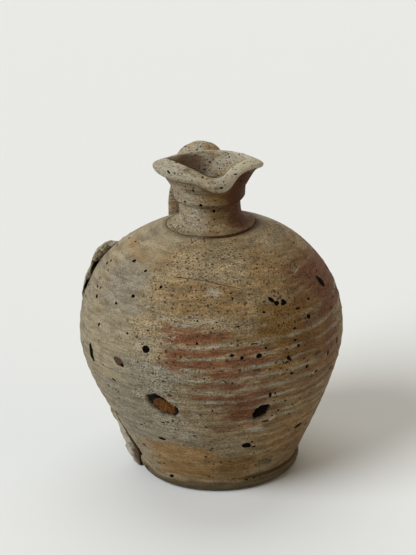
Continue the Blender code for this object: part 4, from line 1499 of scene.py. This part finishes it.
class Paint:
    """A material, with short ways to make its textures and to lay colours over each other."""

    def __init__(self, name):
        self.material = bpy.data.materials.new(name)
        self.material.use_nodes = True
        self.tree = self.material.node_tree
        self.shader = self.tree.nodes["Principled BSDF"]

    def mix(self, share, first, second, blend='MIX'):
        made = add_node(self.tree, "ShaderNodeMix", data_type='RGBA', blend_type=blend)
        feed(made.inputs[0], share)
        feed(made.inputs[6], first)
        feed(made.inputs[7], second)
        return Value(made.outputs[2])

    def tinted(self, colour, texture, limits, dark, light):
        """The colour darkened and lightened by a texture."""
        return self.mix(1, colour, self.mix(texture.step(*limits), dark, light), 'MULTIPLY')

    def strength(self, name):
        """A number written at the vertices."""
        return Value(add_node(self.tree, "ShaderNodeAttribute", attribute_name=name).outputs["Fac"])

    def placed(self, kind, sizes, seed):
        """A texture node laid on the object in cells of the given sizes along X, Y and Z."""
        scale = add_node(self.tree, "ShaderNodeMapping")
        feed(scale.inputs["Vector"], Value(add_node(self.tree, "ShaderNodeTexCoord").outputs["Object"]))
        feed(scale.inputs["Scale"], [1 / size for size in sizes])
        feed(scale.inputs["Location"], [seed * step for step in seed_steps])
        made = add_node(self.tree, kind)
        feed(made.inputs["Vector"], Value(scale.outputs["Vector"]))
        feed(made.inputs["Scale"], 1)
        return made

    def grain(self, sizes, detail, seed, roughness):
        """Noise of the given grain sizes along X, Y and Z."""
        made = self.placed("ShaderNodeTexNoise", sizes, seed)
        feed(made.inputs["Detail"], detail)
        feed(made.inputs["Roughness"], roughness)
        return Value(made.outputs["Fac"])

    def dots(self, sizes, seed, share, largest):
        """Round dots of uneven size, in a share of the cells."""
        cells = self.placed("ShaderNodeTexVoronoi", sizes, seed)
        parts = add_node(self.tree, "ShaderNodeSeparateColor")
        feed(parts.inputs["Color"], Value(cells.outputs["Color"]))
        radius = Value(parts.outputs["Red"]).step(1 - share, 1) * largest
        return (radius - Value(cells.outputs["Distance"])).step(-dot_edge, dot_edge)

    def patchy(self, name, texture, spread, low, high, under_ridges=0):
        """A kiln colour's share: its strength broken up by a texture, and thinned on the ridges."""
        strength = self.strength(name)
        lifted = strength + texture.swing(spread) - self.strength("ridge") * under_ridges
        return lifted.step(low, high) * strength.step(0, patch_edge)

    def finish(self, colour, roughness, gloss, height, depth, relief):
        """The material from its colour, its roughness, its gloss and the height of its relief."""
        feed(self.shader.inputs["Base Color"], colour)
        feed(self.shader.inputs["Roughness"], roughness)
        feed(self.shader.inputs["Specular IOR Level"], gloss)
        bumps = add_node(self.tree, "ShaderNodeBump")
        feed(bumps.inputs["Strength"], relief)
        feed(bumps.inputs["Distance"], depth)
        feed(bumps.inputs["Height"], height)
        feed(self.shader.inputs["Normal"], Value(bumps.outputs["Normal"]))
        return self.material


def clay_colours(paint, mottle, streaks, broad, ragged):
    """The clay's colour under the kiln's patches, and the patches."""
    warm = paint.strength("warm")
    colour = paint.mix(warm, beige, tan)
    colour = paint.mix(broad.step(*tan_limits), colour, paint.mix(tan_share, colour, tan))
    colour = paint.mix(streaks.step(*orange_limits) * warm * orange_share, colour, rust)
    colour = paint.mix(streaks.step(*pale_limits) * pale_share, colour, slate)
    for texture, table in ((mottle, mottled_patches), (ragged, ragged_patches)):
        for name, (patch_colour, *limits) in table.items():
            colour = paint.mix(paint.patchy(name, texture, *limits), colour, patch_colour)
    return colour


def stoneware(name):
    """Ash-glazed clay: beige, with grey, ochre, plum and red patches, pores and crusty pale ridges, with
    painted shade in its grooves and sockets and a painted highlight on the lip.
    """
    paint = Paint(name)
    broad, streaks, lines, mottle, fine = (paint.grain(*texture) for texture in (
        broad_texture, streak_texture, line_texture, mottle_texture, fine_texture))
    ragged = (lines * ragged_shares[0] + fine * ragged_shares[1]).step(*ragged_limits)
    colour = clay_colours(paint, mottle, streaks, broad, ragged)
    colour = paint.tinted(colour, mottle, *mottle_tint)
    gritty = paint.tinted(colour, fine, *fine_tint)
    colour = paint.mix(paint.strength("grit").filled_up(grit_share), colour, gritty)
    colour = paint.tinted(colour, streaks, *streak_tint)
    ridge = paint.strength("ridge")
    crusty = paint.strength("crust")
    crust = (ragged + ridge * crust_on_ridges).step(*crust_limits) * crusty
    white = paint.dots(*crust_dots) * (ridge.filled_up(crust_dots_everywhere) * crusty)
    crust = crust.or_more(white * crust_dot_share)
    colour = paint.mix(crust * crust_share, colour, chalk)
    colour = paint.mix(paint.patchy("ash", ragged, *ash_patch), colour, chalk)
    # Painted highlight on the lip's side that faces the light
    colour = paint.mix(paint.strength("painted_highlight"), colour, painted_highlight)
    speckle = paint.strength("speckle")
    pores = (paint.dots(*small_pores) * speckle.filled_up(small_pores_everywhere)).or_more(
        paint.dots(*large_pores) * speckle.filled_up(large_pores_everywhere))
    colour = paint.mix(pores * pore_share, colour, umber)
    # Painted shade: the grooves, the throat, the neck's shaded side and the flap's crack darkened to umber
    colour = paint.mix(paint.strength("groove"), colour, umber)
    # Painted shade: the chipped sockets darkened to near black
    colour = paint.mix(paint.strength("socket"), colour, soot_and_shade)
    roughness = mottle * clay_roughness_swing + clay_roughness
    height = fine * fine_relief_share + pores * pore_relief_share + crust * crust_relief_share
    return paint.finish(colour, roughness, clay_gloss, height, clay_bump, clay_relief)


def stone_finish(name, dark, light, size, roughness, gloss):
    """Rough stone, clinker or melted iron in two tones."""
    paint = Paint(name)
    tone = paint.grain((size,) * 3, *stone_texture)
    colour = paint.mix(tone.step(*stone_limits), dark, light)
    return paint.finish(colour, roughness, gloss, tone, stone_bump, stone_relief)


def burnt_finish(name, dark, light, size, roughness, gloss):
    """The brown stone, burnt black round its edge."""
    paint = Paint(name)
    tone = paint.grain((size,) * 3, *stone_texture)
    colour = paint.mix(tone.step(*burnt_limits), dark, light)
    edge = paint.strength("burnt") + tone.swing(burnt_swing)
    colour = paint.mix(edge.step(*edge_limits), colour, soot_and_shade)
    return paint.finish(colour, roughness, gloss, tone, burnt_bump, burnt_relief)


def fired_fragment(name):
    """A clinker with a smooth pale skin, broken open to a dark brown pitted inside with pale chips."""
    paint = Paint(name)
    broad = paint.grain(*skin_texture)
    pits = paint.grain(*pit_texture)
    skin = paint.tinted(paint.mix(broad.step(*skin_limits), skin_dark, skin_light), pits, *skin_tint)
    inside = paint.mix(pits.step(*inside_limits), inside_dark, inside_light)
    inside = paint.mix(paint.dots(*pale_chips), inside, chip_colour)
    torn = paint.strength("raw") + pits.swing(torn_swing)
    colour = paint.mix(torn.step(*edge_limits), skin, inside)
    return paint.finish(colour, fragment_roughness, fragment_gloss, pits, fragment_bump, fragment_relief)


def add_camera():
    right, upward, forward = camera_ways()
    lens = bpy.data.cameras.new("camera")
    lens.sensor_fit = 'VERTICAL'
    lens.sensor_height = sensor_size
    lens.sensor_width = sensor_size
    lens.lens = focal_length_px / frame_height_px * sensor_size
    lens.shift_x = -(target_px[0] - frame_width_px / 2) / frame_height_px
    lens.shift_y = (target_px[1] - frame_height_px / 2) / frame_height_px
    camera = add_object("camera", lens)
    turn = Matrix((right, upward, -forward)).transposed()
    camera.matrix_world = Matrix.Translation(camera_place()) @ turn.to_4x4()
    bpy.context.scene.camera = camera


def add_lamps():
    """A soft lamp from the left, a softer one high behind, and a faint warm one from the right."""
    for name, facts in lamps.items():
        lamp = bpy.data.lights.new(name, 'SUN')
        lamp.angle = facts["spread"]
        lamp.energy = facts["strength"]
        lamp.color = facts["colour"]
        level = cos(facts["elevation"])
        way = Vector((sin(facts["azimuth"]) * level, -cos(facts["azimuth"]) * level,
                      sin(facts["elevation"])))
        add_object(name, lamp).rotation_euler = way.to_track_quat('Z', 'Y').to_euler()


def set_world():
    """Even light on the object. The camera, gloss and glass see a pale sky instead."""
    world = bpy.data.worlds.new("studio")
    bpy.context.scene.world = world
    world.use_nodes = True
    tree = world.node_tree
    tree.nodes.clear()
    both = add_node(tree, "ShaderNodeMixShader")
    rays = [Value(add_node(tree, "ShaderNodeLightPath").outputs[name]) for name in seen_rays]
    feed(both.inputs["Fac"], rays[0].or_more(rays[1]).or_more(rays[2]))
    for number, colour, strength in ((1, world_colour, world_strength), (2, sky_colour, sky_strength)):
        light = add_node(tree, "ShaderNodeBackground")
        feed(light.inputs["Color"], colour)
        feed(light.inputs["Strength"], strength)
        feed(both.inputs[number], Value(light.outputs[0]))
    out = add_node(tree, "ShaderNodeOutputWorld")
    feed(out.inputs["Surface"], Value(both.outputs[0]))


def add_floor():
    turns = np.linspace(0, 2 * pi, floor_points, endpoint=False)
    points = np.column_stack((floor_radius * np.cos(turns), floor_radius * np.sin(turns), 0 * turns))
    paint = Paint("floor")
    feed(paint.shader.inputs["Base Color"], floor_colour)
    feed(paint.shader.inputs["Roughness"], floor_roughness)
    floor = fill_mesh("floor", points, [range(floor_points)], paint.material)


def dress(piece, node):
    """A piece rides on the jug's one body and stands for its solid, if any."""
    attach(piece, "root")
    if node:
        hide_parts(node)


def main():
    glaze = stoneware("stoneware_glaze")
    black = stone_finish("melted_iron_and_shade", *melted_iron_and_shade)
    brown = stone_finish("rusty_iron", *rusty_iron)
    stain = stone_finish("rust_and_shade_brown", *rust_and_shade_brown)
    olive = stone_finish("olive_ash", *olive_ash)
    grey = stone_finish("grey_iron", *grey_iron)
    ironstone = burnt_finish("brown_ironstone", *brown_ironstone)
    clinker = fired_fragment("clinker")
    body = make_body(glaze)
    neck = make_neck(glaze)
    handle = make_handle(glaze)
    dress(body, "body")
    dress(neck, "neck")
    dress(handle, "handle")
    wad = make_wad(glaze)
    surface = surface_tree(body, neck, handle, wad)
    place = on_pixel(surface)
    dress(mark_mesh("neck_iron_marks", pixel_marks, place, black), None)
    dress(mark_mesh("neck_rust_marks", pixel_brown_marks, place, brown), None)
    dress(make_shard(clinker), "shoulder_shard")
    dress(wad, "foot_wad")
    dress(line_mesh("rust_and_shade_lines", brown_lines, surface, stain), None)
    dress(line_mesh("dark_lines", black_lines, surface, black), None)
    dress(make_stone("pebble_left", left_socket, ironstone, **left_stone),
          "ironstone_pebble_left")
    dress(make_stone("pebble_right", right_socket, black, **right_stone),
          "ironstone_pebble_right")
    all_black = black_marks + unseen_marks()
    dress(mark_mesh("iron_marks", all_black, on_body, black), None)
    dress(mark_mesh("rust_marks", brown_marks, on_body, brown), None)
    dress(mark_mesh("olive_marks", olive_marks, on_body, olive), None)
    dress(mark_mesh("grey_marks", grey_marks, on_body, grey), None)
    add_camera()
    add_lamps()
    set_world()
    add_floor()
    bpy.context.scene.view_settings.view_transform = 'Standard'


main()
